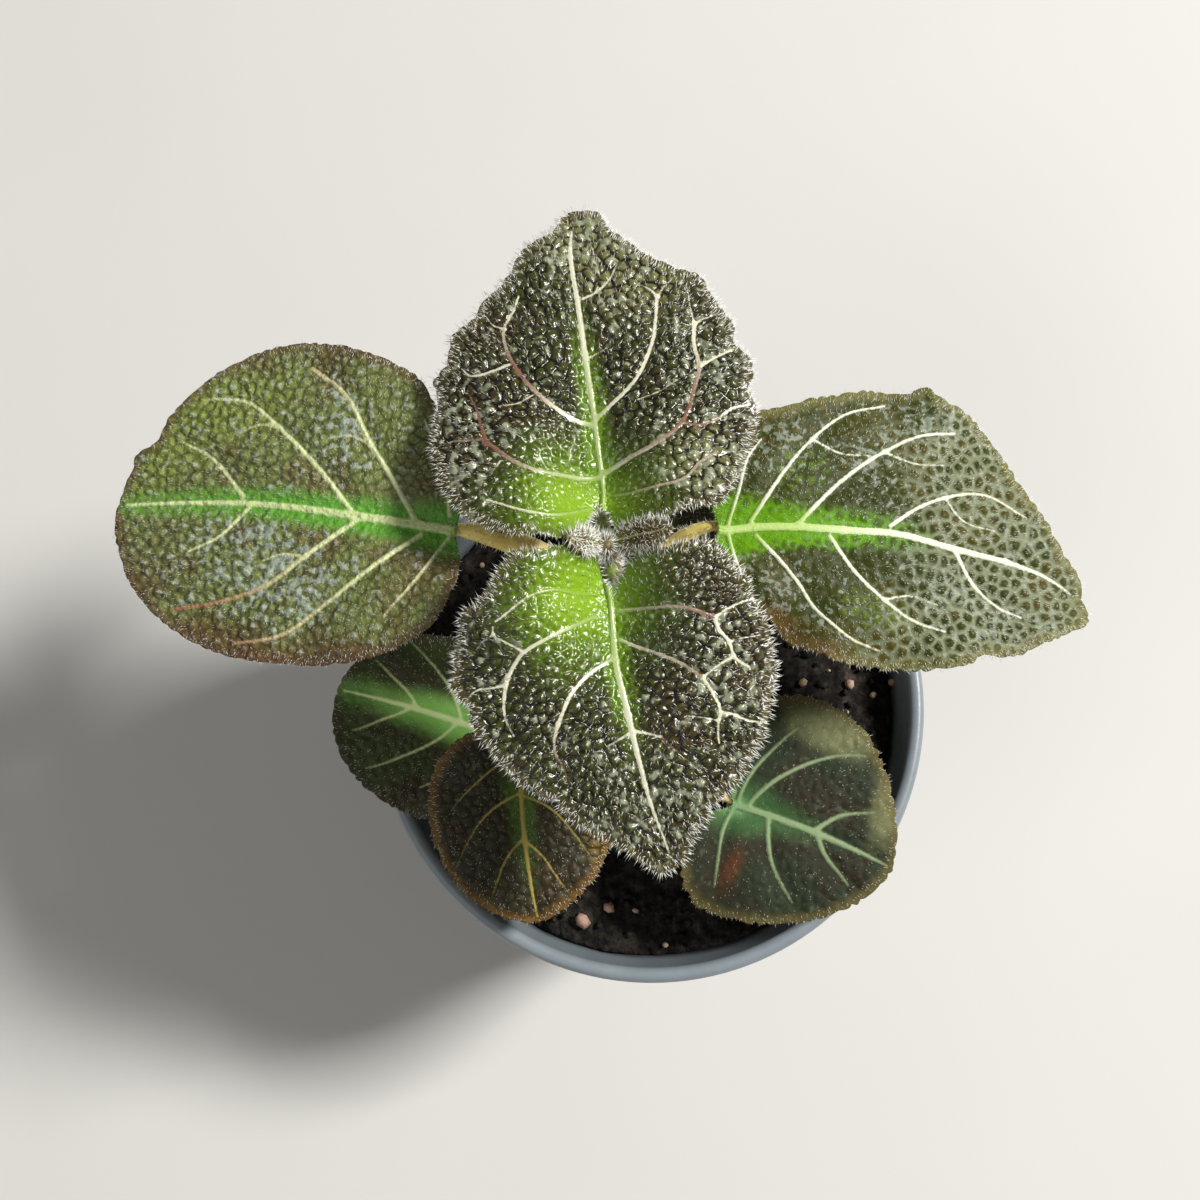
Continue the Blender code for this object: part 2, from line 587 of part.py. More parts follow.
def make_soil():
    """Soil that fills the pot, with fused crumbs on top and a plain hole for the stem."""
    draw = np.random.default_rng(SOIL_SEED)
    top = RIM_HEIGHT - SOIL_DROP - SOIL_EDGE_DROP
    floor = FLOOR + GAP
    edge = pot_inner_radius(top) - SOIL_WALL_GAP
    profile = [(0.0, floor), (pot_inner_radius(FLOOR) - SOIL_CHAMFER - GAP, floor),
               (pot_inner_radius(FLOOR + SOIL_CHAMFER) - GAP, floor + SOIL_CHAMFER), (edge, top)]
    profile += [(edge * (1.0 - (ring + 1) / SOIL_RINGS), top) for ring in range(SOIL_RINGS - 1)]
    profile.append((0.0, top))
    points, faces = revolve(profile, SOIL_SIDES)
    first_top = 1 + 3 * SOIL_SIDES
    for i in range(first_top, len(points)):
        x, y, _ = points[i]
        points[i] = (x, y, float(soil_height(x, y)) + draw.uniform(-0.3, 0.3) * SOIL_ROUGHNESS)
    body = mesh_object("soil", points, faces, "potting_soil")
    crumbs = []
    for i in range(CRUMBS):
        reach = (edge - CRUMB_WALL_CLEAR) * math.sqrt(draw.uniform(0.06, 1.0))
        turn = draw.uniform(0.0, math.tau)
        x, y = reach * math.cos(turn), reach * math.sin(turn)
        size = draw.uniform(*CRUMB_RADIUS)
        shell = bmesh.new()
        bmesh.ops.create_icosphere(shell, subdivisions=1, radius=size)
        stretch = Matrix.Diagonal((*draw.uniform(0.75, 1.2, 2), 0.8, 1.0))
        turned = Matrix.Rotation(draw.uniform(0.0, math.tau), 4, "Z") @ stretch
        place = Matrix.Translation((x, y, float(soil_height(x, y)) + 0.1 * size))
        shell.transform(place @ turned)
        corners = [tuple(vert.co) for vert in shell.verts]
        sides = [tuple(vert.index for vert in face.verts) for face in shell.faces]
        crumbs.append(mesh_object("crumb_%d" % i, corners, sides, "potting_soil"))
        shell.free()
    away = [crumb for crumb in crumbs if stem_gap(crumb) > CRUMB_STEM_CLEAR]
    for crumb in crumbs:
        if crumb not in away:
            bpy.data.objects.remove(crumb, do_unlink=True)
    join(body, away, "UNION", "MANIFOLD")
    path = stem_path()
    buried = path[path[:, 2] < RIM_HEIGHT + HOLE_RISE]
    radii = stem_radius(buried[:, 2]) + HOLE_CLEARANCE
    buried[0] -= (0.0, 0.0, HOLE_CLEARANCE)
    hole = mesh_object("stem_hole", *tube(buried, radii, HOLE_SIDES), "potting_soil")
    join(body, [hole], "DIFFERENCE", "MANIFOLD")
    smooth(body)


def stem_gap(thing):
    """How far the nearest corner of a crumb lies outside the stem's hole, in millimetres."""
    middle = stem_place(RIM_HEIGHT - SOIL_DROP)
    corners = np.array([tuple(v.co) for v in thing.data.vertices]) / MM
    skin = STEM_RADIUS[0] + NODE_SWELL + HOLE_CLEARANCE
    return np.hypot(corners[:, 0] - middle[0], corners[:, 1] - middle[1]).min() - skin


def main():
    clear_scene()
    make_pot()
    make_soil()
    make_stem()
    draw = np.random.default_rng(LEAF_SEED)
    for name, leaf in LEAVES.items():
        make_leaf(name, leaf, draw)
    make_tip_leaves(draw)


main()
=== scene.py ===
"""Looks of the potted pearcea: eight quilted, hairy leaves and a very young pair on a leaning stem,
rooted in dark soil in a smoky plastic pot.

Lengths are millimetres until a mesh is made. The driving dimensions are those of the plant's
solids, so that each finer piece keeps the place and the form of the node that it stands for."""
import math
from collections import namedtuple

import bpy
import numpy as np
from mathutils import Matrix, Vector


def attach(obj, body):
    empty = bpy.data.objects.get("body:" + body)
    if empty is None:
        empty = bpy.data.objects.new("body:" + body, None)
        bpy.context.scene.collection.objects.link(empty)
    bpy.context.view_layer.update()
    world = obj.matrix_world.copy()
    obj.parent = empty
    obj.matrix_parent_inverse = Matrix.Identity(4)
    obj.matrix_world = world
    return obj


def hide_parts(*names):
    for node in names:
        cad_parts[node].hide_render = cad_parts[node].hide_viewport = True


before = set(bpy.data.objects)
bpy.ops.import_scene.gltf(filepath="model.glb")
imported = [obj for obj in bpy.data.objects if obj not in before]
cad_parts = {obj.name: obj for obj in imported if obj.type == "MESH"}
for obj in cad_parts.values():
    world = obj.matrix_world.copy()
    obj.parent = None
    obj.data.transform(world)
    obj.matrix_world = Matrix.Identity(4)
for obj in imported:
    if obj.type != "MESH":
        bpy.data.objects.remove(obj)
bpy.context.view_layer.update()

MM = 0.001
BODY = "root"
DRAW_SEED = 23
LEAF_SEED = 40
TIP_SEED = 70

# Camera: place in millimetres, looking down and to the back
CAMERA_PLACE = (-7.345, -24.602, 294.309)
CAMERA_ELEVATION = 80.0
CAMERA_LENS = 46.4
CAMERA_SENSOR = 36.0
CAMERA_NEAR = 0.01
CAMERA_FAR = 10.0

# Studio: soft boxes as (name, place, size, power, colour), in metres and watts, the place that they
# aim at, and the pale surroundings
LIGHTS = (("key", (0.93, 0.3, 1.1), 0.24, 26.0, (1.0, 0.98, 0.945)),
          ("fill", (-0.8, -0.6, 1.0), 0.8, 3.2, (1.0, 0.99, 0.96)))
LIGHT_AIM = (0.0, 0.005, 0.1)
SKY_COLOUR = (1.0, 0.985, 0.95, 1.0)
SKY_STRENGTH = 0.16
FLOOR_HALF = 1500.0
FLOOR_DROP = 0.1

# Pot, as its solid, with the roundings of its lip, foot ring and floor, and how far from its foot,
# its lip and its floor the straight stretches start and end
RIM_RADIUS = 40.0
RIM_HEIGHT = 70.0
LIP_WIDTH = 2.2
LIP_DEPTH = 4.0
LIP_ROUND = 1.1
LIP_EDGE_ROUND = 0.45
LIP_HOLLOW = 0.5
LIP_SIDE_LOW = 1.2
LIP_SIDE_HIGH = 1.6
FOOT_RADIUS = 28.0
FOOT_RECESS = 0.6
FOOT_ROUND = 0.8
FOOT_RING = 3.6
RING_ROUND = 0.4
WALL = 1.2
WALL_START = 3.0
WALL_END = 0.6
INSIDE_END = 1.4
FLOOR = 1.5
FLOOR_ROUND = 1.2
POT_SIDES = 144
POT_CREASE = 40.0
DRAIN_HOLES = 6
DRAIN_RADIUS = 3.0
DRAIN_CIRCLE = 19.0
DRAIN_SIDES = 32

# Soil, as its solid. Its clods are (size, height), and its wall's rings are shares of its depth. Its
# crumbs and grains are balls, dented and stretched by random shares
SOIL_DROP = 6.5
SOIL_TOP = RIM_HEIGHT - SOIL_DROP
SOIL_CROWN = 1.2
SOIL_ROUGHNESS = 0.45
SOIL_WALL_GAP = 0.35
SOIL_GRID = 150
SOIL_LOWERED = 0.7
SOIL_EDGE_DROP = 0.8
SOIL_EDGE_WIDTH = 0.06
SOIL_RINGS = (0.7, 0.4, 0.04)
CLODS = ((2.6, 1.2), (1.1, 0.55))
CRUMBS = 620
CRUMB_SIZES = (0.25, 0.85)
CRUMB_LIFT = 0.15
PALE_GRAINS = 46
GRAIN_SIZES = (0.2, 0.62)
GRAIN_LIFT = 0.25
BALL_SPAN = 1.9
LUMP_DENTS = (0.78, 1.2)
LUMP_STRETCH = (0.7, 1.15)
WALL_CLEAR = 2.2
STEM_CLEAR = 4.0

# Pale grains that the photograph shows, as (x, y, radius)
SEEN_GRAINS = ((23.0, 3.4, 0.95), (30.0, 3.2, 1.0), (33.6, 1.6, 0.8), (34.2, 8.6, 1.25),
               (-6.0, -29.6, 1.2), (-10.0, -31.4, 1.1), (2.2, -35.0, 0.6), (36.4, 3.6, 0.7))

# Stem, as its solid, scored by faint rings, and petioles. A petiole thins by its distance from its
# end in the blade, as (distances, shares of its radius), and its first three points are stouter. It
# leaves the node at a share of its slope, and the two pulls on its curve are shares of its span
STEM_ROUTE = ((-1.0, -4.2, 48.0), (-1.0, -4.2, 66.0), (-1.6, -3.0, 84.0),
              (-6.6, 14.5, 96.0), (-6.6, 14.3, 109.5))
STEM_RADIUS = (2.5, 1.5)
STEM_POINTS = 200
STEM_SIDES = 28
STEM_RINGS = 120
SCORE_DEPTH = 0.05
SCORE_BEAT = 2.6
NODE_SWELL = 0.45
NODE_SPREAD = 1.6
STUB_LENGTH = 0.9
GAP = 0.3
PETIOLE_POINTS = 26
PETIOLE_SIDES = 20
PETIOLE_SINK = 3.2
PETIOLE_UNDER = 0.95
PETIOLE_RISE = 0.35
PETIOLE_PULLS = (0.35, 0.4)
PETIOLE_THINNING = ((0.0, 2.4, 4.4, 7.0, 12.0), (0.16, 0.32, 0.62, 0.85, 1.0))
PETIOLE_FLARE = (1.25, 1.2, 1.1)

# The rounded seat of the young pair on the stem's end
CROWN_FOOT = (-6.6, 14.3, 109.0)
CROWN_HEIGHT = 3.6
CROWN_RADIUS = 1.45
CROWN_POINTS = 14
CROWN_SIDES = 24

# Hairs: the radius of a long one and how deep it sits, how a leaf's hairs spread, lean and turn up,
# how near they come to the margin, how many places are tried for each hair, their lengths as shares
# of the leaf's hair length, the same for the margin's fringe, and the stalks' hairs as (number,
# length, how much they turn up), where a petiole's number goes by its length
HAIR_RADIUS = 0.08
HAIR_SINK = 0.1
HAIR_SPREAD = 0.28
HAIR_LEAN = (0.25, 0.55)
LEAN_REACH = 18.0
HAIR_RISE = 0.8
HAIR_REACH = 0.985
HAIR_SPARE = 1.25
HAIR_LENGTHS = (0.55, 1.15)
FRINGE_SPREAD = 0.2
FRINGE_DEPTH = 1.3
FRINGE_LONGER = 1.6
FRINGE_RISE = 0.3
FRINGE_LENGTHS = (0.6, 1.15)
STALK_HAIR_SPREAD = 0.25
STALK_HAIR_LENGTHS = (0.5, 1.2)
CROWN_HAIRS = (360, 1.4, 0.4)
STEM_HAIRS = (1500, 0.95, 0.0)
PETIOLE_HAIR = (0.8, 0.1)
PETIOLE_HAIRS_PER_MM = 14
PETIOLE_HAIRS_LEAST = 60

# Blades, as their solids, with a finer edge, quilt and veins. The quilt's cushions are drawn over a
# box that is a little larger than the blade, and the green halo of the heart is (times as long,
# times as wide, strength)
TIP_ROUND = 0.09
HUB_SHARE = 0.36
EDGE_POINTS = 900
MARGIN_POINTS = 160
SWEEP_POINTS = 2400
VEIN_POINTS = 20
LATERAL_POINTS = 24
BLADE_THICK = 0.42
EDGE_THICK = 0.3
EDGE_RAMP = 1.5
RIB_DROP = 0.38
RIB_SPREAD = 0.35
NET_RIB_DROP = 0.12
NET_RIB_SPREAD = 0.22
VEIN_BLEND = 0.16
SWELL_SPREAD = 1.5
CORD_HEIGHT = 0.14
CORD_FOOT_HEIGHT = 0.2
CORD_FOOT_REACH = 5.0
THROAT_REACH = 15.0
QUILT_BEHIND = 7.0
QUILT_BESIDE = 4.0
QUILT_AHEAD = 1.0
QUILT_TRIES = 9.0
HEART_HALO = (1.9, 1.5, 0.8)
TOPS_BATCH = 6000

# Half of a blade's outline: its width, how far along it is widest, how far its lobe reaches behind
# the petiole, how pointed it is in front and how square behind
Side = namedtuple("Side", "width widest lobe point square")

# A leaf: where its blade starts, its turn and pitch in degrees, its length, its two halves, the
# throat as (depth, half width, reach), how far the margin curls down and waves, where its petiole
# leaves the stem, its roll, the bow of its midrib, and, where VEINS doesn't list it, its laterals
# as (foot along the midrib, end along, end across, bend)
Leaf = namedtuple("Leaf", "base heading pitch length left right throat curl wave node roll bow "
                          "veins_left veins_right", defaults=(None, 0.0, 0.0, (), ()))

# How a blade's surface is finished: cells of its grid a side, size of its cushions, height of
# the cushions and of the swell between the veins, half width of the midrib at its foot, tooth
# spacing and depth, hairs and their length, hairs of the fringe, green zone as (half width, reach
# along the midrib), lime heart as (reach along, reach across, its middle across), whose middle on
# the two top leaves is set towards the lit side of the midrib as painted light, the finish's
# name, the petiole's radius, how soft the valleys between the cushions are, and the half width of
# laterals that VEINS doesn't list
Look = namedtuple("Look", "grid cell cushion swell midrib tooth hairs hair fringe green heart finish "
                          "stalk soft lateral", defaults=(1.0, 0.0, 0.0))

LEAVES = {
    "leaf_back": Leaf(
        base=(-7.2, 19.3, 110.0), node=(-6.6, 14.3, 107.6), heading=94.6, pitch=-9.6,
        length=42.0, bow=0.6,
        left=Side(19.3, 8.0, 4.6, 1.3, 3.1), right=Side(20.7, 16.0, 4.2, 1.25, 2.8),
        throat=(6.0, 5.5, 13.0), curl=3.2, wave=0.7),
    "leaf_front": Leaf(
        base=(-6.4, 9.4, 110.0), node=(-6.6, 14.3, 107.6), heading=-79.0, pitch=-11.5,
        length=35.5, bow=-0.6,
        left=Side(18.6, 11.5, 4.2, 1.2, 2.5), right=Side(19.4, 6.5, 5.0, 1.25, 2.4),
        throat=(6.0, 5.5, 12.0), curl=3.0, wave=0.7),
    "leaf_left": Leaf(
        base=(-25.4, 17.2, 106.0), node=(-5.9, 11.8, 99.5), heading=174.3, pitch=-10.0,
        length=45.8, bow=-1.4,
        left=Side(19.4, 22.0, 2.0, 0.57, 2.4), right=Side(22.9, 22.0, 1.2, 0.75, 2.2),
        throat=(1.8, 4.5, 9.0), curl=2.6, wave=0.5),
    "leaf_right": Leaf(
        base=(7.3, 17.2, 107.0), node=(-5.9, 11.8, 99.5), heading=-11.8, pitch=-10.5, roll=-3.0,
        length=50.0, bow=4.0,
        left=Side(20.5, 22.5, 3.6, 1.1, 2.1), right=Side(16.1, 20.5, 1.2, 1.05, 1.95),
        throat=(1.6, 4.0, 8.0), curl=2.4, wave=0.9),
    "leaf_low_left": Leaf(
        base=(-20.5, -6.2, 74.0), node=(-1.0, -4.2, 71.0), heading=163.0, pitch=1.5,
        length=25.4, bow=-0.6,
        left=Side(14.4, 8.6, 3.0, 0.5, 2.4), right=Side(11.4, 10.0, 3.0, 0.55, 2.4),
        veins_left=((1.4, 9.4, 9.8, -0.15), (7.6, 17.4, 9.4, -0.18), (14.6, 21.2, 5.0, -0.1)),
        veins_right=((1.4, 8.0, 8.6, -0.15), (7.0, 17.2, 8.6, -0.18), (13.6, 21.2, 5.0, -0.1)),
        throat=(0.8, 3.0, 6.0), curl=1.2, wave=0.3),
    "leaf_low_front": Leaf(
        base=(-18.0, -7.6, 83.0), node=(-1.2, -3.7, 79.0), heading=-84.7, pitch=-15.0,
        length=24.7, bow=-0.8,
        left=Side(11.8, 12.0, 2.4, 0.85, 2.4), right=Side(12.8, 8.0, 3.4, 0.55, 2.7),
        veins_left=((1.2, 8.4, 8.6, -0.2), (6.6, 15.8, 8.2, -0.22), (13.0, 20.4, 4.6, -0.1)),
        veins_right=((1.2, 7.6, 9.2, -0.2), (6.2, 15.4, 9.2, -0.22), (12.4, 20.2, 5.4, -0.1)),
        throat=(1.0, 3.0, 6.0), curl=1.8, wave=0.4),
    "leaf_low_right": Leaf(
        base=(11.1, -15.2, 77.0), node=(-1.0, -4.2, 71.0), heading=-21.4, pitch=-6.0,
        length=24.3, bow=0.6,
        left=Side(17.8, 6.5, 4.2, 0.7, 2.6), right=Side(15.2, 3.0, 5.6, 0.7, 2.4),
        veins_left=((0.6, 4.6, 12.2, -0.2), (2.0, 14.6, 12.0, -0.28), (11.8, 18.8, 5.6, -0.15)),
        veins_right=((0.4, 1.6, 11.0, -0.15), (5.2, 12.2, 9.6, -0.2), (12.4, 18.8, 4.6, -0.12)),
        throat=(1.2, 3.4, 7.0), curl=1.6, wave=0.4),
    "leaf_low_back": Leaf(
        base=(0.6, 11.6, 80.5), node=(-1.2, -3.7, 79.0), heading=83.0, pitch=-6.0,
        length=25.0, bow=0.8,
        left=Side(11.8, 9.0, 2.4, 0.6, 2.4), right=Side(12.2, 9.5, 2.4, 0.6, 2.4),
        veins_left=((1.2, 8.0, 8.6, -0.2), (6.2, 15.6, 8.4, -0.22), (12.4, 20.6, 4.8, -0.1)),
        veins_right=((1.2, 8.2, 8.8, -0.2), (6.6, 15.8, 8.6, -0.22), (13.0, 20.8, 4.8, -0.1)),
        throat=(1.0, 3.0, 6.0), curl=1.6, wave=0.4),
}

# The two very young leaves on the stem's end
TIP_LEAVES = {
    "young_right": Leaf(base=(-6.1, 14.75, 111.6), heading=4.0, pitch=38.0, length=9.2,
                        left=Side(2.0, 4.2, 0.3, 0.7, 2.2), right=Side(2.0, 4.2, 0.3, 0.7, 2.2),
                        throat=(0.3, 1.5, 2.0), curl=0.6, wave=0.0),
    "young_left": Leaf(base=(-7.1, 14.4, 111.6), heading=180.0, pitch=48.0, length=6.2,
                       left=Side(1.5, 2.4, 0.4, 0.8, 2.0), right=Side(1.5, 2.4, 0.4, 0.8, 2.0),
                       throat=(0.3, 1.5, 2.0), curl=0.5, wave=0.0),
}

# Veins of the four upper leaves, the midrib's parts first. Each is (half width at its foot, half
# width at its end, how brown it is at its foot, how brown at its end, places that it runs through),
# and a place is (along, across), with the leaf's left positive
VEINS = {
    "leaf_back": (
        (0.31, 0.36, 0.0, 0.0, ((-1.0, 0.0), (2.4, -0.4), (4.6, -0.3), (11.6, 0.0), (19.4, 0.5))),
        (0.36, 0.29, 0.0, 0.0, ((19.4, 0.5), (27.1, 0.8), (31.6, 1.1), (34.7, 1.2))),
        (0.29, 0.07, 0.0, 0.0, ((34.7, 1.2), (37.4, 1.0), (39.8, 0.5))),
        (0.32, 0.24, 0.3, 0.9, ((4.4, -0.8), (5.0, -3.2), (5.8, -6.8), (7.7, -10.0), (10.2, -11.6))),
        (0.24, 0.26, 0.9, 0.1, ((10.2, -11.6), (13.2, -12.6), (16.1, -13.5), (19.7, -13.2), (22.8, -13.6))),
        (0.12, 0.07, 0.0, 0.0, ((22.8, -13.6), (23.7, -15.0), (24.6, -16.6))),
        (0.12, 0.04, 0.0, 0.0, ((22.8, -13.6), (26.0, -13.3), (28.9, -13.4))),
        (0.2, 0.14, 0.0, 0.0, ((16.1, -13.5), (17.6, -15.5), (19.4, -18.3))),
        (0.17, 0.14, 1.0, 0.1, ((8.3, -10.7), (8.0, -12.5), (8.8, -14.8), (10.3, -16.9), (11.0, -19.2))),
        (0.26, 0.2, 0.2, 0.0, ((11.0, -0.5), (12.4, -2.5), (14.1, -4.8), (19.4, -7.8), (27.0, -9.3))),
        (0.12, 0.07, 0.0, 0.0, ((27.0, -9.3), (28.1, -8.6), (29.0, -7.4))),
        (0.12, 0.07, 0.0, 0.0, ((27.0, -9.3), (28.4, -10.2), (29.9, -11.5))),
        (0.14, 0.07, 0.0, 0.0, ((18.6, 0.1), (19.2, -1.3), (19.8, -2.5))),
        (0.2, 0.07, 0.0, 0.0, ((27.4, 0.1), (28.2, -1.5), (30.0, -3.3), (32.9, -4.7))),
        (0.08, 0.04, 0.0, 0.0, ((30.9, -2.3), (34.4, -1.9), (38.4, -1.4))),
        (0.16, 0.18, 0.5, 0.6, ((1.3, -1.5), (0.5, -5.8), (1.0, -10.4), (2.7, -12.1), (4.1, -14.3))),
        (0.09, 0.04, 0.2, 0.2, ((12.1, -5.5), (12.6, -7.7), (14.4, -10.9))),
        (0.28, 0.26, 0.0, 0.9, ((10.2, 0.3), (10.6, 1.8), (11.7, 4.0), (14.7, 7.3), (17.0, 8.8))),
        (0.26, 0.14, 0.9, 0.0, ((17.0, 8.8), (20.1, 10.0), (23.7, 10.3), (26.8, 8.8), (28.7, 8.2))),
        (0.1, 0.05, 0.0, 0.0, ((23.8, 10.1), (24.6, 11.5), (26.2, 12.4))),
        (0.19, 0.1, 0.2, 0.0, ((18.2, 10.0), (17.8, 11.5), (17.9, 15.1), (18.9, 15.8))),
        (0.1, 0.04, 0.1, 0.1, ((13.7, 7.3), (12.7, 9.0), (12.5, 11.5))),
        (0.26, 0.26, 0.1, 0.9, ((4.0, -0.4), (3.6, 4.0), (3.6, 7.2), (4.5, 9.5), (7.7, 13.2))),
        (0.24, 0.08, 0.9, 0.8, ((7.7, 13.2), (10.3, 13.8), (12.0, 14.1), (15.4, 15.2))),
        (0.16, 0.07, 0.8, 0.5, ((8.2, 13.7), (8.5, 15.6), (8.8, 17.9))),
        (0.14, 0.07, 0.0, 0.0, ((5.0, 11.7), (3.3, 13.1))),
        (0.22, 0.12, 0.0, 0.0, ((-0.2, 1.6), (-2.1, 6.5), (-1.7, 9.1), (-0.5, 12.0), (0.3, 13.6)))),
    "leaf_front": (
        (0.34, 0.38, 0.0, 0.0, ((-1.0, 0.0), (1.4, 0.0), (4.1, -0.3), (9.1, -0.8), (15.4, -0.6))),
        (0.38, 0.12, 0.0, 0.0, ((15.4, -0.6), (21.2, -0.3), (26.9, 0.2), (31.2, 1.0), (33.0, 1.3))),
        (0.22, 0.21, 0.4, 0.8, ((3.0, 0.6), (3.2, 3.5), (3.8, 8.1), (4.6, 9.8), (5.7, 11.6))),
        (0.22, 0.15, 0.0, 0.0, ((5.7, 11.6), (7.1, 11.8), (8.9, 12.8), (10.7, 13.1), (12.5, 14.8))),
        (0.15, 0.09, 0.0, 0.0, ((5.6, 11.9), (5.0, 13.3), (4.6, 15.0), (4.5, 16.8))),
        (0.09, 0.04, 0.0, 0.0, ((8.9, 12.8), (8.8, 14.5), (8.9, 16.8))),
        (0.14, 0.1, 0.0, 0.0, ((10.7, 13.1), (11.3, 11.3), (12.3, 9.2))),
        (0.22, 0.19, 0.3, 0.7, ((6.4, 0.2), (7.6, 2.1), (8.6, 4.0), (11.0, 7.5), (12.5, 8.9))),
        (0.22, 0.1, 0.0, 0.0, ((12.5, 8.9), (14.3, 9.7), (16.9, 10.3), (18.7, 9.7), (20.7, 9.5))),
        (0.15, 0.09, 0.0, 0.0, ((17.0, 10.3), (17.6, 11.8), (18.6, 13.3), (19.5, 15.8))),
        (0.09, 0.04, 0.0, 0.0, ((17.9, 9.8), (17.0, 7.5), (16.6, 6.2))),
        (0.17, 0.1, 0.0, 0.3, ((17.4, 0.0), (17.9, 1.4), (18.6, 2.8))),
        (0.1, 0.05, 0.8, 1.0, ((18.6, 2.8), (21.4, 4.9), (24.1, 7.2))),
        (0.17, 0.07, 0.0, 0.0, ((17.5, -1.0), (18.0, -2.4), (18.5, -3.8))),
        (0.17, 0.12, 0.5, 0.0, ((0.6, -1.4), (-0.1, -4.1), (-1.0, -6.2), (-1.1, -8.3), (1.3, -13.9))),
        (0.09, 0.12, 0.0, 0.0, ((1.9, -14.4), (2.8, -14.5), (3.9, -13.3), (5.2, -11.7))),
        (0.1, 0.05, 0.0, 0.0, ((2.8, -14.5), (3.4, -15.9), (4.3, -16.9))),
        (0.21, 0.24, 0.4, 0.0, ((3.1, -2.1), (3.5, -4.3), (4.5, -8.6), (5.7, -11.6), (8.1, -13.8))),
        (0.24, 0.09, 0.0, 0.0, ((8.1, -13.8), (10.6, -14.7), (12.8, -15.0), (15.2, -14.4))),
        (0.15, 0.07, 0.0, 0.0, ((9.0, -14.3), (9.0, -16.2), (9.0, -17.8), (9.9, -19.1))),
        (0.21, 0.21, 0.3, 0.0, ((8.4, -1.1), (9.7, -4.4), (11.6, -6.9), (14.7, -9.0))),
        (0.19, 0.1, 0.2, 1.0, ((14.7, -9.0), (17.0, -9.9), (18.4, -9.9), (19.6, -9.4), (21.6, -9.2)))),
    "leaf_left": (
        (0.66, 0.52, 0.1, 0.0, ((-1.4, 0.0), (0.1, -0.2), (6.4, -0.7), (12.8, -1.0))),
        (0.52, 0.17, 0.0, 0.0, ((12.8, -1.0), (20.0, -1.6), (28.1, -1.9), (36.0, -1.6), (44.6, -1.0))),
        (0.26, 0.14, 0.2, 0.4, ((0.9, -2.1), (1.8, -7.5), (5.3, -13.9))),
        (0.33, 0.24, 0.0, 0.5, ((5.3, -1.3), (8.9, -6.5), (11.9, -10.3), (16.5, -17.0), (21.9, -20.7))),
        (0.33, 0.17, 0.0, 0.3, ((12.8, -1.0), (19.2, -7.6), (24.8, -12.2), (29.7, -15.5), (35.2, -15.8))),
        (0.26, 0.12, 0.0, 0.2, ((28.2, -2.8), (33.4, -7.7), (37.8, -9.7))),
        (0.19, 0.07, 0.3, 0.3, ((24.8, -12.2), (27.4, -12.4), (30.0, -11.2))),
        (0.17, 0.07, 0.3, 0.3, ((11.9, -10.3), (15.0, -11.4), (17.6, -11.0))),
        (0.26, 0.14, 0.2, 0.5, ((0.6, 0.6), (3.6, 6.0), (7.6, 11.4))),
        (0.31, 0.17, 0.0, 0.7, ((4.2, 0.6), (9.0, 4.7), (16.1, 10.9), (21.2, 14.7), (27.5, 16.0))),
        (0.33, 0.19, 0.0, 1.0, ((12.7, -0.4), (18.8, 4.6), (23.1, 8.2), (29.3, 10.8), (36.0, 12.2))),
        (0.26, 0.12, 0.0, 0.2, ((27.3, -1.2), (30.9, 2.7), (34.7, 4.7))),
        (0.17, 0.07, 0.3, 0.3, ((18.8, 4.6), (21.6, 4.4), (24.4, 5.4)))),
    "leaf_right": (
        (0.54, 0.46, 0.0, 0.0, ((-1.4, 0.0), (0.0, 0.1), (5.0, 1.6), (10.0, 2.7), (15.4, 3.6))),
        (0.46, 0.34, 0.0, 0.0, ((15.4, 3.6), (22.7, 4.9), (30.5, 4.9), (37.6, 5.0))),
        (0.34, 0.08, 0.0, 0.0, ((37.6, 5.0), (43.1, 4.4), (46.3, 3.4), (47.6, 2.8))),
        (0.24, 0.1, 0.0, 0.1, ((1.1, 1.2), (1.4, 5.0), (1.8, 9.9), (3.1, 12.7))),
        (0.26, 0.12, 0.0, 0.0, ((3.8, 2.1), (6.6, 9.1), (9.5, 14.3), (13.1, 18.6), (18.9, 22.1))),
        (0.28, 0.15, 0.0, 0.0, ((9.6, 3.0), (14.3, 10.0), (19.2, 15.2), (23.2, 18.3), (28.5, 20.4))),
        (0.25, 0.12, 0.0, 0.5, ((21.5, 5.7), (24.8, 9.0), (28.1, 11.2), (33.2, 13.0), (39.6, 11.5))),
        (0.24, 0.12, 0.0, 0.1, ((1.4, -0.4), (3.1, -4.3), (6.4, -8.6))),
        (0.25, 0.12, 0.0, 0.5, ((4.8, 0.4), (10.2, -3.8), (13.8, -6.9), (17.9, -9.1), (23.3, -10.0))),
        (0.25, 0.13, 0.0, 0.2, ((13.9, 2.4), (17.5, -1.0), (22.3, -3.8), (27.1, -5.6), (30.9, -5.9))),
        (0.26, 0.1, 0.0, 0.1, ((30.5, 4.6), (33.9, 0.7), (37.9, -1.3), (40.8, -1.7))),
        (0.16, 0.06, 0.0, 0.0, ((19.2, 15.2), (23.0, 14.6), (27.6, 15.6))),
        (0.16, 0.06, 0.0, 0.0, ((9.5, 14.3), (13.6, 13.4), (17.4, 14.2))),
        (0.14, 0.06, 0.0, 0.0, ((28.1, 11.2), (31.0, 8.8), (35.6, 8.6))),
        (0.14, 0.06, 0.0, 0.0, ((22.3, -3.8), (25.4, -2.6), (29.4, -2.8)))),
}
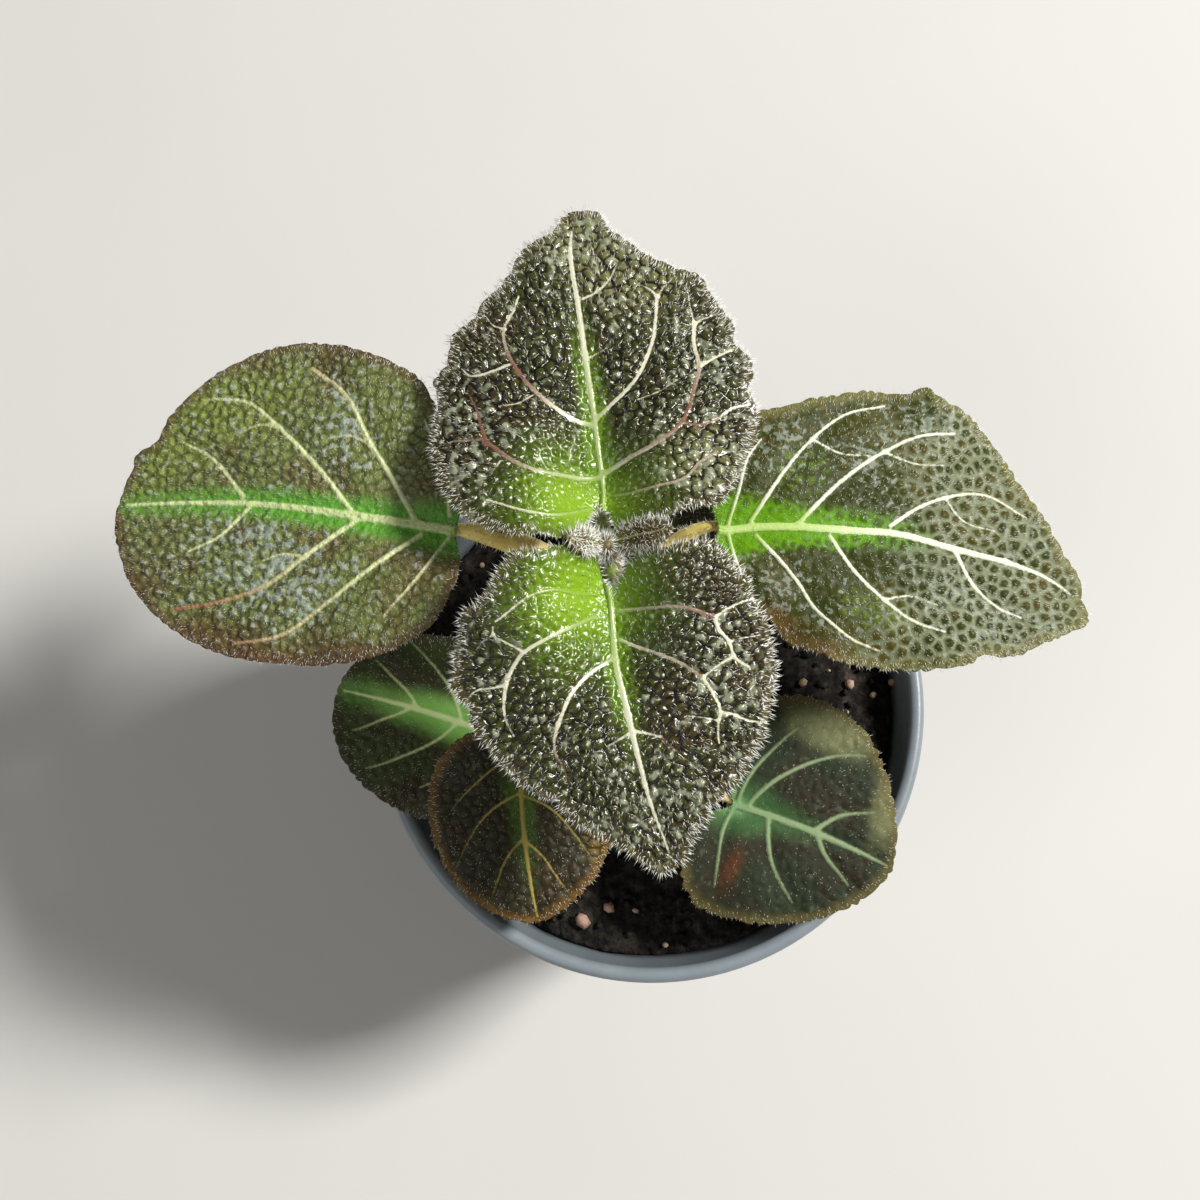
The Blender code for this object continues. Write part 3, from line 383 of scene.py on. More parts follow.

# Patches of a leaf, each as (along, across, half length, half width): light ones, which are painted
# sunlight on the parts of the leaf where light falls, ones blushed red, and ones where the pale
# spots of fine down and painted glint are more
PATCHES = {
    "leaf_left": {"light": ((38.5, -11.3, 7.0, 6.0), (29.4, -15.8, 8.0, 5.0), (43.3, -5.7, 4.0, 6.0)),
                  "blush": ((32.2, 14.6, 6.0, 2.6), (22.2, 17.4, 7.0, 2.4), (11.7, 16.6, 5.0, 3.0)),
                  "down_and_sheen": ((28.7, 5.6, 7.0, 4.0), (18.7, 10.1, 7.0, 4.5), (22.3, 2.7, 6.0, 3.0),
                            (16.5, -13.4, 5.0, 4.0))},
    "leaf_right": {"light": ((8.6, 9.8, 4.0, 4.0), (20.7, -5.5, 5.0, 2.4)),
                   "blush": ((14.9, -12.5, 5.0, 2.4), (8.3, -9.7, 4.0, 2.4)),
                   "down_and_sheen": ((5.3, 13.8, 4.0, 4.0), (18.1, 13.4, 5.0, 3.0), (23.9, 20.3, 7.0, 3.0),
                             (9.9, -5.0, 5.0, 3.0), (41.4, -2.5, 5.0, 3.0), (32.1, -1.5, 5.0, 2.6))},
    # Painted sunlight on this leaf's upper part
    "leaf_low_right": {"light": ((9.2, 15.4, 8.0, 4.0), (21.0, 8.0, 3.0, 6.0)),
                       "blush": ((2.8, -8.2, 1.5, 3.8),)},
    "leaf_low_front": {"light": ((14.0, 9.6, 5.0, 2.4),), "down_and_sheen": ((9.0, 7.6, 4.0, 2.0),)},
    "leaf_front": {"down_and_sheen": ((14.0, 12.0, 8.0, 5.0), (26.0, 1.0, 6.0, 5.0))},
    "leaf_back": {"light": ((31.0, -6.0, 8.0, 8.0), (3.0, -12.5, 5.0, 6.0), (38.5, 0.0, 5.0, 7.0)),
                  "down_and_sheen": ((8.0, 15.0, 8.0, 4.0), (37.0, 0.0, 7.0, 9.0), (16.0, -15.0, 8.0, 4.0),
                            (2.0, -12.0, 4.0, 6.0))},
}

# How many of its lines make up the midrib of each of these leaves
MIDRIB_PARTS = {"leaf_back": 3, "leaf_front": 2, "leaf_left": 2, "leaf_right": 3}

# How far a petiole is drawn aside from its even bend, towards the back and up
PETIOLE_SWAY = {"leaf_left": (0.0, 1.4, 0.2), "leaf_right": (0.0, 1.3, 0.2)}

# Waves of the four upper leaves' edges, for the right half and for the left one: (place along the
# edge from the petiole, width, height outwards)
WAVES = {
    "leaf_back": (((3.6, 2.2, 1.5), (15.0, 2.2, 1.1), (23.0, 3.0, -0.5), (32.2, 1.4, -0.9),
                   (40.1, 1.6, -1.2), (50.4, 2.0, 1.2), (57.5, 3.5, -0.8), (67.6, 2.0, 1.5)),
                  ((13.0, 2.4, 0.8), (21.0, 2.0, -0.1), (29.6, 1.8, 0.8), (38.8, 1.4, 1.3),
                   (44.8, 2.6, 1.2), (51.0, 1.6, 0.6), (60.5, 3.6, 1.5), (67.4, 1.8, 0.6),
                   (6.0, 4.0, 0.9))),
    "leaf_front": (((4.6, 3.2, 2.6), (11.8, 3.4, 2.4), (20.4, 1.4, 0.7), (28.4, 1.8, 0.8),
                    (31.9, 1.0, -0.6), (47.3, 1.8, -0.9), (56.0, 2.0, -0.2)),
                   ((13.8, 3.2, 1.7), (23.0, 2.0, -0.4), (36.0, 2.2, -0.5), (50.0, 3.0, -0.7),
                    (58.4, 1.6, 0.9))),
    "leaf_left": (((14.8, 2.2, -0.6), (22.0, 2.4, 0.4), (30.0, 3.0, -0.3), (62.0, 1.4, -0.9),
                   (65.2, 1.2, 0.8)),
                  ((13.0, 3.0, 0.2), (63.4, 2.0, -0.2))),
    "leaf_right": (((16.6, 2.4, -1.0), (27.5, 2.0, 0.3), (47.0, 1.6, -0.9), (52.6, 1.8, 0.3)),
                   ((16.4, 2.6, 1.7), (27.0, 3.4, -0.7), (39.0, 1.3, 1.4), (46.0, 2.6, 0.4),
                    (55.8, 4.0, -1.0), (68.4, 2.2, 1.0))),
}

LOOKS = {
    "leaf_back": Look(grid=240, cell=1.36, cushion=0.56, swell=0.5, midrib=0.4,
                      tooth=(1.9, 0.3), hairs=2700, hair=0.64, fringe=1400, green=(1.7, 26.0),
                      heart=(4.6, 7.2, 2.2), stalk=1.25, finish="leaf_dark"),
    "leaf_front": Look(grid=236, cell=1.32, cushion=0.56, swell=0.5, midrib=0.38,
                       tooth=(1.9, 0.3), hairs=2500, hair=0.64, fringe=1300, green=(1.8, 21.0),
                       heart=(5.6, 7.2, -2.8), stalk=1.25, finish="leaf_dark"),
    "leaf_left": Look(grid=210, cell=1.4, cushion=0.5, swell=0.45, midrib=0.42,
                      tooth=(2.2, 0.22), hairs=3600, hair=0.4, fringe=800, green=(2.1, 62.0),
                      heart=(1.0, 0.8, 0.0), stalk=1.65, finish="leaf_green", soft=0.8),
    "leaf_right": Look(grid=210, cell=1.5, cushion=0.4, swell=0.4, midrib=0.5,
                       tooth=(1.9, 0.32), hairs=3600, hair=0.42, fringe=900, green=(2.4, 27.0),
                       heart=(1.0, 0.8, 0.0), stalk=1.2, finish="leaf_silver", soft=0.6),
    "leaf_low_left": Look(grid=136, cell=1.6, cushion=0.3, swell=0.35, midrib=0.4, lateral=0.22,
                          tooth=(2.0, 0.25), hairs=1500, hair=0.4, fringe=300, green=(3.2, 32.0),
                          heart=(4.0, 3.0, 0.0), finish="leaf_shade", soft=0.6),
    "leaf_low_front": Look(grid=136, cell=1.5, cushion=0.36, swell=0.35, midrib=0.3, lateral=0.17,
                           tooth=(2.0, 0.3), hairs=1000, hair=0.36, fringe=400, green=(2.0, 20.0),
                           heart=(3.0, 2.0, 0.0), finish="leaf_gold", soft=0.3),
    "leaf_low_right": Look(grid=136, cell=1.6, cushion=0.34, swell=0.45, midrib=0.44, lateral=0.33,
                           tooth=(2.4, 0.45), hairs=700, hair=0.34, fringe=400, green=(2.6, 16.0),
                           heart=(3.0, 2.0, 0.0), stalk=1.1, finish="leaf_sea", soft=0.6),
    "leaf_low_back": Look(grid=90, cell=1.8, cushion=0.4, swell=0.35, midrib=0.3, lateral=0.2,
                          tooth=(2.0, 0.3), hairs=1200, hair=0.5, fringe=250, green=(2.6, 18.0),
                          heart=(4.0, 3.0, 0.0), finish="leaf_shade", soft=0.6),
    "young_right": Look(grid=64, cell=0.9, cushion=0.3, swell=0.1, midrib=0.08,
                        tooth=(0.9, 0.16), hairs=330, hair=0.66, fringe=190, green=(0.6, 2.0),
                        heart=(1.5, 1.0, 0.0), finish="leaf_young"),
    "young_left": Look(grid=56, cell=0.8, cushion=0.16, swell=0.1, midrib=0.08,
                       tooth=(0.9, 0.1), hairs=420, hair=1.0, fringe=120, green=(0.6, 2.0),
                       heart=(1.5, 1.0, 0.0), finish="leaf_young"),
}


def tone(red, green, blue):
    """A colour given as it shows, from 0 to 255, turned linear."""
    shown = np.array((red, green, blue)) / 255.0
    linear = np.where(shown <= 0.04045, shown / 12.92, ((shown + 0.055) / 1.055) ** 2.4)
    return (*(float(x) for x in linear), 1.0)


# Tones of a leaf: between the cushions near the petiole and far from it, which are partly the
# leaf's own dark grooves and partly painted shade in the valleys, on the cushions, a second lamina
# tone that comes in broad patches, a light tone for its own patches, which is painted sunlight on
# the parts where light falls, a blush for its own patches, the pale spots of fine down, which are
# partly real down and partly painted glints on the cushions, green beside the midrib, the lime
# heart, veins, brown parts of veins, the finest net and the margin. Then the share of the pale
# spots, the noise level where they start, how far up a cushion its own tone starts and is full, and
# the roughness. The rest has usual values: the share of the net, how crumpled the skin is, how lime
# the midrib is in the green zone, the size of the pale spots in millimetres, how much they keep to
# the cushions' tops, the wet coat, the gloss, and how soft the veins' sides are
Tones = namedtuple("Tones", "deep far top other light blush frost green lime vein vein_warm net rim "
                            "frost_share frost_from dot rough net_share crumple lime_cord spot "
                            "frost_top coat gloss cord_soft",
                   defaults=(0.1, 2.0, 0.2, 1.5, 0.0, 0.0, 0.35, 0.06))

TONES = {
    "leaf_dark": Tones(deep=tone(16, 12, 1), far=tone(24, 17, 3), top=tone(62, 66, 20),
                       other=tone(66, 56, 20), light=tone(124, 124, 76), blush=tone(90, 50, 24),
                       frost=tone(166, 174, 146), green=tone(102, 138, 22), lime=tone(134, 172, 32),
                       vein=tone(228, 227, 202), vein_warm=tone(132, 94, 78),
                       net=tone(150, 156, 124), rim=tone(84, 76, 36), frost_share=0.7,
                       frost_from=0.575, net_share=0.14, dot=(0.05, 0.4), rough=0.35, crumple=0.6,
                       lime_cord=0.7, spot=1.3, frost_top=0.08, coat=0.3, gloss=0.5, cord_soft=0.0),
    "leaf_green": Tones(deep=tone(40, 48, 18), far=tone(42, 50, 20), top=tone(118, 128, 70),
                        other=tone(110, 102, 60), light=tone(128, 142, 62), blush=tone(96, 62, 34),
                        frost=tone(166, 178, 166), green=tone(96, 164, 52), lime=tone(134, 180, 66),
                        vein=tone(226, 234, 178), vein_warm=tone(176, 120, 96),
                        net=tone(140, 152, 130), rim=tone(96, 72, 46), frost_share=0.7,
                        frost_from=0.56, dot=(-0.3, 0.5), rough=0.5, crumple=11.0, lime_cord=0.3,
                        spot=1.0, frost_top=0.1, cord_soft=0.1),
    "leaf_silver": Tones(deep=tone(54, 60, 14), far=tone(120, 126, 96), top=tone(52, 60, 12),
                         other=tone(80, 74, 26), light=tone(86, 110, 20), blush=tone(92, 60, 24),
                         frost=tone(164, 174, 158), green=tone(96, 150, 0), lime=tone(164, 202, 62),
                         vein=tone(234, 238, 214), vein_warm=tone(204, 190, 156),
                         net=tone(166, 170, 144), rim=tone(118, 114, 60), frost_share=0.55,
                         frost_from=0.58, net_share=0.35, dot=(0.17, 0.5), rough=0.6, crumple=1.5,
                         lime_cord=0.75, spot=0.9, gloss=0.2, cord_soft=0.03),
    # Painted light: the green zone, lime heart and veins of this finish are brighter than the leaf's own
    # colour, for sunlight on the rib of a leaf in shade
    "leaf_shade": Tones(deep=tone(34, 42, 20), far=tone(34, 40, 20), top=tone(62, 74, 38),
                        other=tone(62, 56, 34), light=tone(90, 110, 56), blush=tone(90, 50, 30),
                        frost=tone(104, 116, 90), green=tone(150, 216, 104),
                        lime=tone(206, 244, 150), vein=tone(236, 255, 186),
                        vein_warm=tone(160, 172, 112), net=tone(90, 100, 70), rim=tone(66, 56, 38),
                        frost_share=0.4, frost_from=0.6, dot=(-0.5, 0.1), rough=0.65, gloss=0.3,
                        cord_soft=0.14),
    "leaf_gold": Tones(deep=tone(26, 20, 6), far=tone(26, 20, 6), top=tone(50, 48, 20),
                       other=tone(62, 46, 20), light=tone(130, 108, 46), blush=tone(120, 80, 24),
                       frost=tone(150, 156, 128), green=tone(78, 108, 36), lime=tone(110, 130, 52),
                       vein=tone(176, 160, 78), vein_warm=tone(146, 122, 58), net=tone(80, 70, 36),
                       rim=tone(120, 86, 26), frost_share=0.22, frost_from=0.61, dot=(0.0, 0.4),
                       rough=0.7),
    "leaf_sea": Tones(deep=tone(22, 30, 18), far=tone(28, 32, 18), top=tone(36, 46, 26),
                      other=tone(40, 36, 20), light=tone(126, 130, 88), blush=tone(98, 52, 24),
                      frost=tone(130, 140, 116), green=tone(62, 100, 54), lime=tone(110, 150, 96),
                      vein=tone(140, 160, 118), vein_warm=tone(124, 136, 98), net=tone(96, 106, 82),
                      rim=tone(102, 90, 44), frost_share=0.18, frost_from=0.6, dot=(-0.4, 0.2),
                      rough=0.85, crumple=1.0, gloss=0.3, cord_soft=0.14),
    "leaf_young": Tones(deep=tone(40, 30, 8), far=tone(40, 30, 8), top=tone(86, 74, 32),
                        other=tone(84, 62, 30), light=tone(110, 100, 50), blush=tone(90, 50, 30),
                        frost=tone(150, 146, 112), green=tone(112, 120, 44), lime=tone(136, 154, 66),
                        vein=tone(180, 174, 120), vein_warm=tone(170, 140, 104),
                        net=tone(120, 112, 70), rim=tone(128, 114, 74), frost_share=0.4,
                        frost_from=0.6, dot=(0.0, 0.4), rough=0.7),
}

# The record's slot that each leaf finish belongs to
SLOTS = {"leaf_dark": "leaf_dark", "leaf_green": "leaf_dark", "leaf_silver": "leaf_dark",
         "leaf_shade": "leaf_shade", "leaf_gold": "leaf_shade", "leaf_sea": "leaf_shade",
         "leaf_young": "leaf_young"}


class Wire:
    """An output of a finish's nodes. An expression on wires and numbers adds its Math nodes."""

    def __init__(self, finish, socket):
        self.finish = finish
        self.socket = socket

    def __add__(self, other):
        return self.finish.math("ADD", self, other)

    __radd__ = __add__

    def __sub__(self, other):
        return self.finish.math("SUBTRACT", self, other)

    def __rsub__(self, other):
        return self.finish.math("SUBTRACT", other, self)

    def __mul__(self, other):
        return self.finish.math("MULTIPLY", self, other)

    __rmul__ = __mul__


class Finish:
    """A material being made: each call adds a node and gives back its output as a wire."""

    def __init__(self, name):
        self.material = bpy.data.materials.new(name)
        self.material.use_nodes = True
        self.tree = self.material.node_tree
        self.tree.nodes.clear()

    def add(self, kind, settings=None, values=None, out=0):
        """Any node, from its type, its settings, and its sockets' values or wires."""
        node = self.tree.nodes.new(kind)
        for key, value in (settings or {}).items():
            setattr(node, key, value)
        for key, value in (values or {}).items():
            if isinstance(value, Wire):
                self.tree.links.new(value.socket, node.inputs[key])
            else:
                node.inputs[key].default_value = value
        return Wire(self, node.outputs[out]) if node.outputs else None

    def math(self, operation, *terms):
        """A sum on numbers or wires."""
        return self.add("ShaderNodeMath", {"operation": operation}, dict(enumerate(terms)))

    def mix(self, first, second, share):
        """Colour from the first to the second as share goes from 0 to 1."""
        return self.add("ShaderNodeMix", {"data_type": "RGBA"}, {0: share, 6: first, 7: second}, 2)

    def step(self, value, low, high):
        """A smooth step: 0 where value is low and 1 where it is high."""
        return self.add("ShaderNodeMapRange", {"interpolation_type": "SMOOTHSTEP"},
                        {0: value, 1: low, 2: high, 3: 0.0, 4: 1.0})

    def place(self):
        """The place on the object, in metres."""
        return self.add("ShaderNodeTexCoord", out=3)

    def noise(self, size, detail=2.0, stretch=(1.0, 1.0, 1.0)):
        """Soft noise from 0 to 1, with features of about size millimetres."""
        spread = self.add("ShaderNodeVectorMath", {"operation": "MULTIPLY"}, {0: self.place(), 1: stretch})
        return self.add("ShaderNodeTexNoise", None,
                        {"Vector": spread, "Scale": 1.0 / (size * MM), "Detail": detail})

    def field(self, name):
        """A number that the mesh carries at its points."""
        return self.add("ShaderNodeAttribute", {"attribute_name": name}, None, 2)

    def bump(self, height, depth):
        """A normal from a height of 0 to 1 that stands for depth millimetres."""
        return self.add("ShaderNodeBump", None, {"Strength": 1.0, "Distance": depth * MM, "Height": height})

    def surface(self, **values):
        """The Principled shader and the output. Names are the sockets', with _ for a space."""
        named = {key.replace("_", " "): value for key, value in values.items()}
        shader = self.add("ShaderNodeBsdfPrincipled", None, named)
        self.add("ShaderNodeOutputMaterial", None, {"Surface": shader})
        return self.material


def leaf_finish(name):
    """Upper face of a leaf: cushions of their own tone, pale patches of painted sunlight, valleys
    between the cushions darkened partly as the leaf's grooves and partly as painted shade, a net
    between them that changes towards the tip, pale spots of fine down and painted glints, a green
    zone beside the midrib with a lime heart, and cream veins that turn brown in places. Each layer
    is laid over those before it."""
    tones = TONES[name]
    paint = Finish(name)
    net, plump, vein = paint.field("net"), paint.field("plump"), paint.field("vein")
    broad = paint.noise(9.0, 2.0)
    patches = paint.noise(3.4, 3.0)
    spots = paint.noise(tones.spot, 3.0)
    flecks = paint.noise(0.55, 1.0)
    grain = paint.noise(0.3, 3.0)
    sway = 0.5 * (patches - 0.5)
    reach = paint.field("green") + 0.25 * (patches - 0.5)
    outer = paint.step(paint.field("far") + 0.36 * (broad - 0.5), 0.36, 0.58)

    # Cushions, and the gaps between them, whose dark tones are partly the leaf's own grooves and partly
    # painted shade in the valleys
    body = paint.mix(tones.top, tones.other, paint.step(broad + 0.1 * paint.field("cell"), 0.48, 0.68))
    # Painted sunlight: the light tone where the leaf's light patches lie
    body = paint.mix(body, tones.light, paint.step(paint.field("light") + sway, 0.15, 0.9) * 0.85)
    gaps = paint.mix(tones.deep, tones.far, outer)
    gaps = paint.mix(gaps, tones.green, paint.step(reach, 0.1, 0.7))
    lamina = paint.mix(gaps, body, paint.step(plump + 0.3 * (flecks - 0.5), *tones.dot))

    # Finest net, pale spots that are partly fine down and partly painted glints, margin and blush
    line = (1.0 - paint.step(net, 0.02, 0.16)) * tones.net_share
    lamina = paint.mix(lamina, tones.net, line * outer * paint.step(patches + 0.4 * flecks, 0.6, 0.8))
    # Pale spots: partly fine down, partly painted glints and sheen on the cushions' tops and in the bloom
    # patches
    down = spots + 0.3 * (patches - 0.5) + 0.12 * paint.field("down_and_sheen") + tones.frost_top * (plump - 0.4)
    frost = paint.step(down, tones.frost_from, tones.frost_from + 0.13)
    lamina = paint.mix(lamina, tones.frost, frost * tones.frost_share)
    margin = 1.0 - paint.step(paint.field("margin") + patches, 0.6, 2.4)
    lamina = paint.mix(lamina, tones.rim, margin * 0.7)
    lamina = paint.mix(lamina, tones.blush, paint.step(paint.field("blush") + sway, 0.05, 1.4) * 0.85)

    # Green zone, lime heart and veins
    lamina = paint.mix(lamina, tones.green, paint.step(reach, 0.18, 1.0) * 0.95)
    lime = paint.field("lime")
    lamina = paint.mix(lamina, tones.lime, paint.step(lime + 0.14 * (flecks - 0.5), 0.16, 1.05))
    cord = paint.mix(tones.vein, tones.vein_warm, paint.step(paint.field("brown") + 0.4 * grain, 0.3, 1.1))
    cord = paint.mix(cord, tones.lime, paint.step(reach, 0.25, 1.0) * tones.lime_cord)
    cord = paint.mix(cord, tones.lime, paint.step(lime, 0.3, 0.9) * 0.7)
    on_vein = 1.0 - paint.step(vein + 0.14 * (grain - 0.5) + 0.2 * (flecks - 0.5),
                               -0.08 - tones.cord_soft, 0.06 + tones.cord_soft)
    colour = paint.mix(lamina, cord, on_vein)
    skin = paint.bump(grain + flecks + tones.crumple * spots, 0.06)
    return paint.surface(Base_Color=colour, Roughness=tones.rough - 0.2 * grain, Normal=skin,
                         Specular_IOR_Level=tones.gloss, Coat_Weight=tones.coat, Coat_Roughness=0.16)


def under_finish():
    """Lower face of every leaf: dull green, flushed purple between pale raised veins."""
    paint = Finish("leaf_under")
    patches = paint.noise(7.0, 3.0)
    grain = paint.noise(0.5, 2.0)
    lamina = paint.mix(tone(104, 112, 72), tone(112, 74, 72), paint.step(patches, 0.38, 0.68))
    lamina = paint.mix(tone(84, 92, 56), lamina, paint.step(paint.field("net"), 0.02, 0.4))
    cord = paint.mix(tone(176, 182, 130), tone(166, 124, 108), patches)
    colour = paint.mix(cord, lamina, paint.step(paint.field("vein"), -0.05, 0.35))
    return paint.surface(Base_Color=colour, Roughness=0.62 - 0.12 * grain, Normal=paint.bump(grain, 0.04),
                         Sheen_Weight=0.35, Sheen_Roughness=0.5, Sheen_Tint=(0.9, 0.9, 0.85, 1.0))


def hair_finish():
    """Glassy white hairs, a little green at the root."""
    paint = Finish("hair_white")
    root = 1.0 - paint.step(paint.field("share"), 0.0, 0.4)
    colour = paint.mix(tone(250, 250, 243), tone(190, 196, 150), root * 0.5)
    return paint.surface(Base_Color=colour, Roughness=0.3, Specular_IOR_Level=0.7)


def stalk_finish(name, young, old):
    """Fleshy stalk: soft streaks along it between two tones."""
    paint = Finish(name)
    streaks = paint.noise(1.6, 3.0)
    grain = paint.noise(0.35, 2.0)
    colour = paint.mix(young, old, paint.step(streaks, 0.35, 0.7))
    return paint.surface(Base_Color=colour, Roughness=0.5 - 0.12 * grain, Normal=paint.bump(grain, 0.05),
                         Subsurface_Weight=0.2, Subsurface_Radius=(0.002, 0.002, 0.001),
                         Subsurface_Scale=0.4)


def soil_finish():
    """Near-black peat: brown and black crumbs, a few fibres, damp gloss in spots."""
    paint = Finish("soil_dark")
    crumbs = paint.noise(1.5, 4.0)
    grain = paint.noise(0.5, 4.0)
    fibres = paint.noise(0.9, 2.0, (1.0, 0.16, 0.4))
    colour = paint.mix(tone(18, 16, 15), tone(50, 44, 38), paint.step(crumbs + 0.4 * grain, 0.55, 0.9))
    colour = paint.mix(colour, tone(98, 80, 60), paint.step(fibres, 0.66, 0.74) * 0.5)
    return paint.surface(Base_Color=colour, Roughness=1.0 - 0.4 * paint.step(crumbs, 0.5, 0.75),
                         Normal=paint.bump(grain + crumbs, 0.35), Specular_IOR_Level=0.35)


def grain_finish():
    """Pale mineral grains: cream to pink, each grain of its own tone, dusty."""
    paint = Finish("grain_pale")
    specks = paint.noise(0.6, 3.0)
    colour = paint.mix(tone(206, 184, 150), tone(176, 138, 124), paint.field("cell"))
    colour = paint.mix(colour, tone(120, 104, 84), paint.step(specks, 0.5, 0.72) * 0.6)
    return paint.surface(Base_Color=colour, Roughness=0.8, Normal=paint.bump(specks, 0.12))


def pot_finish():
    """Smoky, milky plastic: light blue-grey at the lip, darker where damp soil lies behind the
    wall, with faint drawn streaks and fine scuffs."""
    paint = Finish("pot_smoky")
    height = paint.add("ShaderNodeSeparateXYZ", None, {0: paint.place()}, 2)
    mottle = paint.noise(7.0, 5.0)
    drawn = paint.noise(3.0, 2.0, (1.0, 1.0, 0.06))
    scuff = paint.noise(0.7, 4.0)
    top = SOIL_TOP * MM
    behind = 1.0 - paint.step(height + 4.0 * MM * (mottle - 0.5), top - 1.5 * MM, top + 1.5 * MM)
    milky = paint.mix(tone(124, 134, 141), tone(141, 151, 158), drawn)
    damp = paint.mix(tone(62, 67, 73), tone(86, 92, 98), paint.step(mottle + 0.3 * scuff, 0.45, 0.85))
    colour = paint.mix(milky, damp, behind * 0.85)
    colour = paint.mix(colour, tone(178, 184, 186), paint.step(scuff, 0.66, 0.8) * 0.25)
    return paint.surface(Base_Color=colour, Roughness=0.3 + 0.16 * scuff, Normal=paint.bump(scuff, 0.02))


def floor_finish():
    """Plain pale table top."""
    paint = Finish("floor_pale")
    cloud = paint.noise(60.0, 2.0)
    colour = paint.mix(tone(216, 215, 212), tone(221, 220, 217), cloud)
    return paint.surface(Base_Color=colour, Roughness=0.8, Specular_IOR_Level=0.3)


def mesh_piece(name, points, quads, triangles, finishes):
    """A smooth shaded mesh from points in millimetres, faces as rows of corners, and finishes."""
    mesh = bpy.data.meshes.new(name)
    quads = np.reshape(quads, (-1, 4))
    triangles = np.reshape(triangles, (-1, 3))
    corners = np.r_[quads.ravel(), triangles.ravel()].astype(np.int32)
    sizes = np.r_[np.full(len(quads), 4), np.full(len(triangles), 3)]
    mesh.vertices.add(len(points))
    mesh.vertices.foreach_set("co", (np.asarray(points) * MM).astype(np.float32).ravel())
    mesh.loops.add(len(corners))
    mesh.loops.foreach_set("vertex_index", corners)
    mesh.polygons.add(len(sizes))
    mesh.polygons.foreach_set("loop_start", (np.cumsum(sizes) - sizes).astype(np.int32))
    mesh.update(calc_edges=True)
    mesh.shade_smooth()
    for finish in finishes:
        mesh.materials.append(finish)
    thing = bpy.data.objects.new(name, mesh)
    bpy.context.scene.collection.objects.link(thing)
    return thing


def carry(thing, name, values):
    """Gives the mesh a number at each of its points, for its finish to read."""
    field = thing.data.attributes.new(name, "FLOAT", "POINT")
    field.data.foreach_set("value", np.asarray(values, dtype=np.float32))


def unit(vectors):
    """The same directions, of length 1."""
    return vectors / np.maximum(np.linalg.norm(vectors, axis=-1, keepdims=True), 1e-9)


def walked_along(places):
    """Distance walked from the first place to each place of a line."""
    return np.r_[0.0, np.cumsum(np.linalg.norm(np.diff(places, axis=0), axis=1))]


def bezier(route, amount):
    """Points of the smooth curve that the route's points pull on: neighbours are mixed by the share
    of the way along, again and again, until one is left."""
    share = np.linspace(0.0, 1.0, amount)[:, None]
    level = [np.tile(np.array(point, dtype=float), (amount, 1)) for point in route]
    while len(level) > 1:
        level = [(1.0 - share) * a + share * b for a, b in zip(level, level[1:])]
    return level[0]


def midrib_bow(leaf, along):
    """Sideways place of the midrib: a flat arc that is zero at the petiole and at the tip."""
    share = np.clip(along / leaf.length, 0.0, 1.0)
    return leaf.bow * 4.0 * share * (1.0 - share)


def lift(leaf, along, across):
    """Height of the blade over its midrib line: a throat that sinks to the petiole, a fall from
    the shoulders to the tip, a margin that curls down, and a slow wave along the margin."""
    depth, half_width, reach = leaf.throat
    from_rib = across - midrib_bow(leaf, along)
    sunk = np.exp(-(from_rib / half_width) ** 2) * np.exp(-(along / reach) ** 2)
    share = along / leaf.length
    width = np.where(from_rib > 0.0, leaf.left.width, leaf.right.width)
    edge = np.minimum(np.abs(from_rib) / width, 1.2)
    turn = np.arctan2(from_rib, along - 0.35 * leaf.length)
    ripple = leaf.wave * edge ** 3 * (np.sin(7.0 * turn) + 0.5 * np.sin(11.0 * turn + 1.3))
    return depth * (1.0 - sunk) - depth * np.sign(share) * share ** 2 - leaf.curl * edge ** 3 + ripple


def placement(leaf):
    """Turns and moves a blade from its own frame (midrib along +X, face up) to its place."""
    return np.array(Matrix.Translation(Vector(leaf.base))
                    @ Matrix.Rotation(math.radians(leaf.heading), 4, "Z")
                    @ Matrix.Rotation(math.radians(-leaf.pitch), 4, "Y")
                    @ Matrix.Rotation(math.radians(leaf.roll), 4, "X"))


def half_outline(side, length, amount):
    """Half of a blade's edge, from the petiole to the tip, as (along, across), evenly spaced.

    Behind the widest place it is a superellipse that ends in the lobe, pulled in to the petiole
    by a narrow bell. In front of it the half width is width * (1 - share^2.15)^point, and a
    small round is added to the square of it at the tip."""
    turn = np.linspace(0.0, math.pi / 2.0, 400)
    across = side.width * np.sin(turn) ** (2.0 / side.square)
    along = side.widest - (side.widest + side.lobe) * np.cos(turn) ** (2.0 / side.square)
    along = along + side.lobe * np.exp(-(across / (0.16 * side.width)) ** 2)
    share = np.sin(turn)[1:]
    front_along = side.widest + (length - side.widest) * share
    front_across = side.width * (1.0 - share ** 2.15) ** side.point
    front_across = np.sqrt(front_across ** 2 + (TIP_ROUND * side.width) ** 2 * (1.0 - share ** 16))
    edge = np.c_[np.r_[along, front_along], np.r_[across, front_across]]
    walked = walked_along(edge)
    places = np.linspace(0.0, walked[-1], amount)
    return np.c_[np.interp(places, walked, edge[:, 0]), np.interp(places, walked, edge[:, 1])], walked[-1]


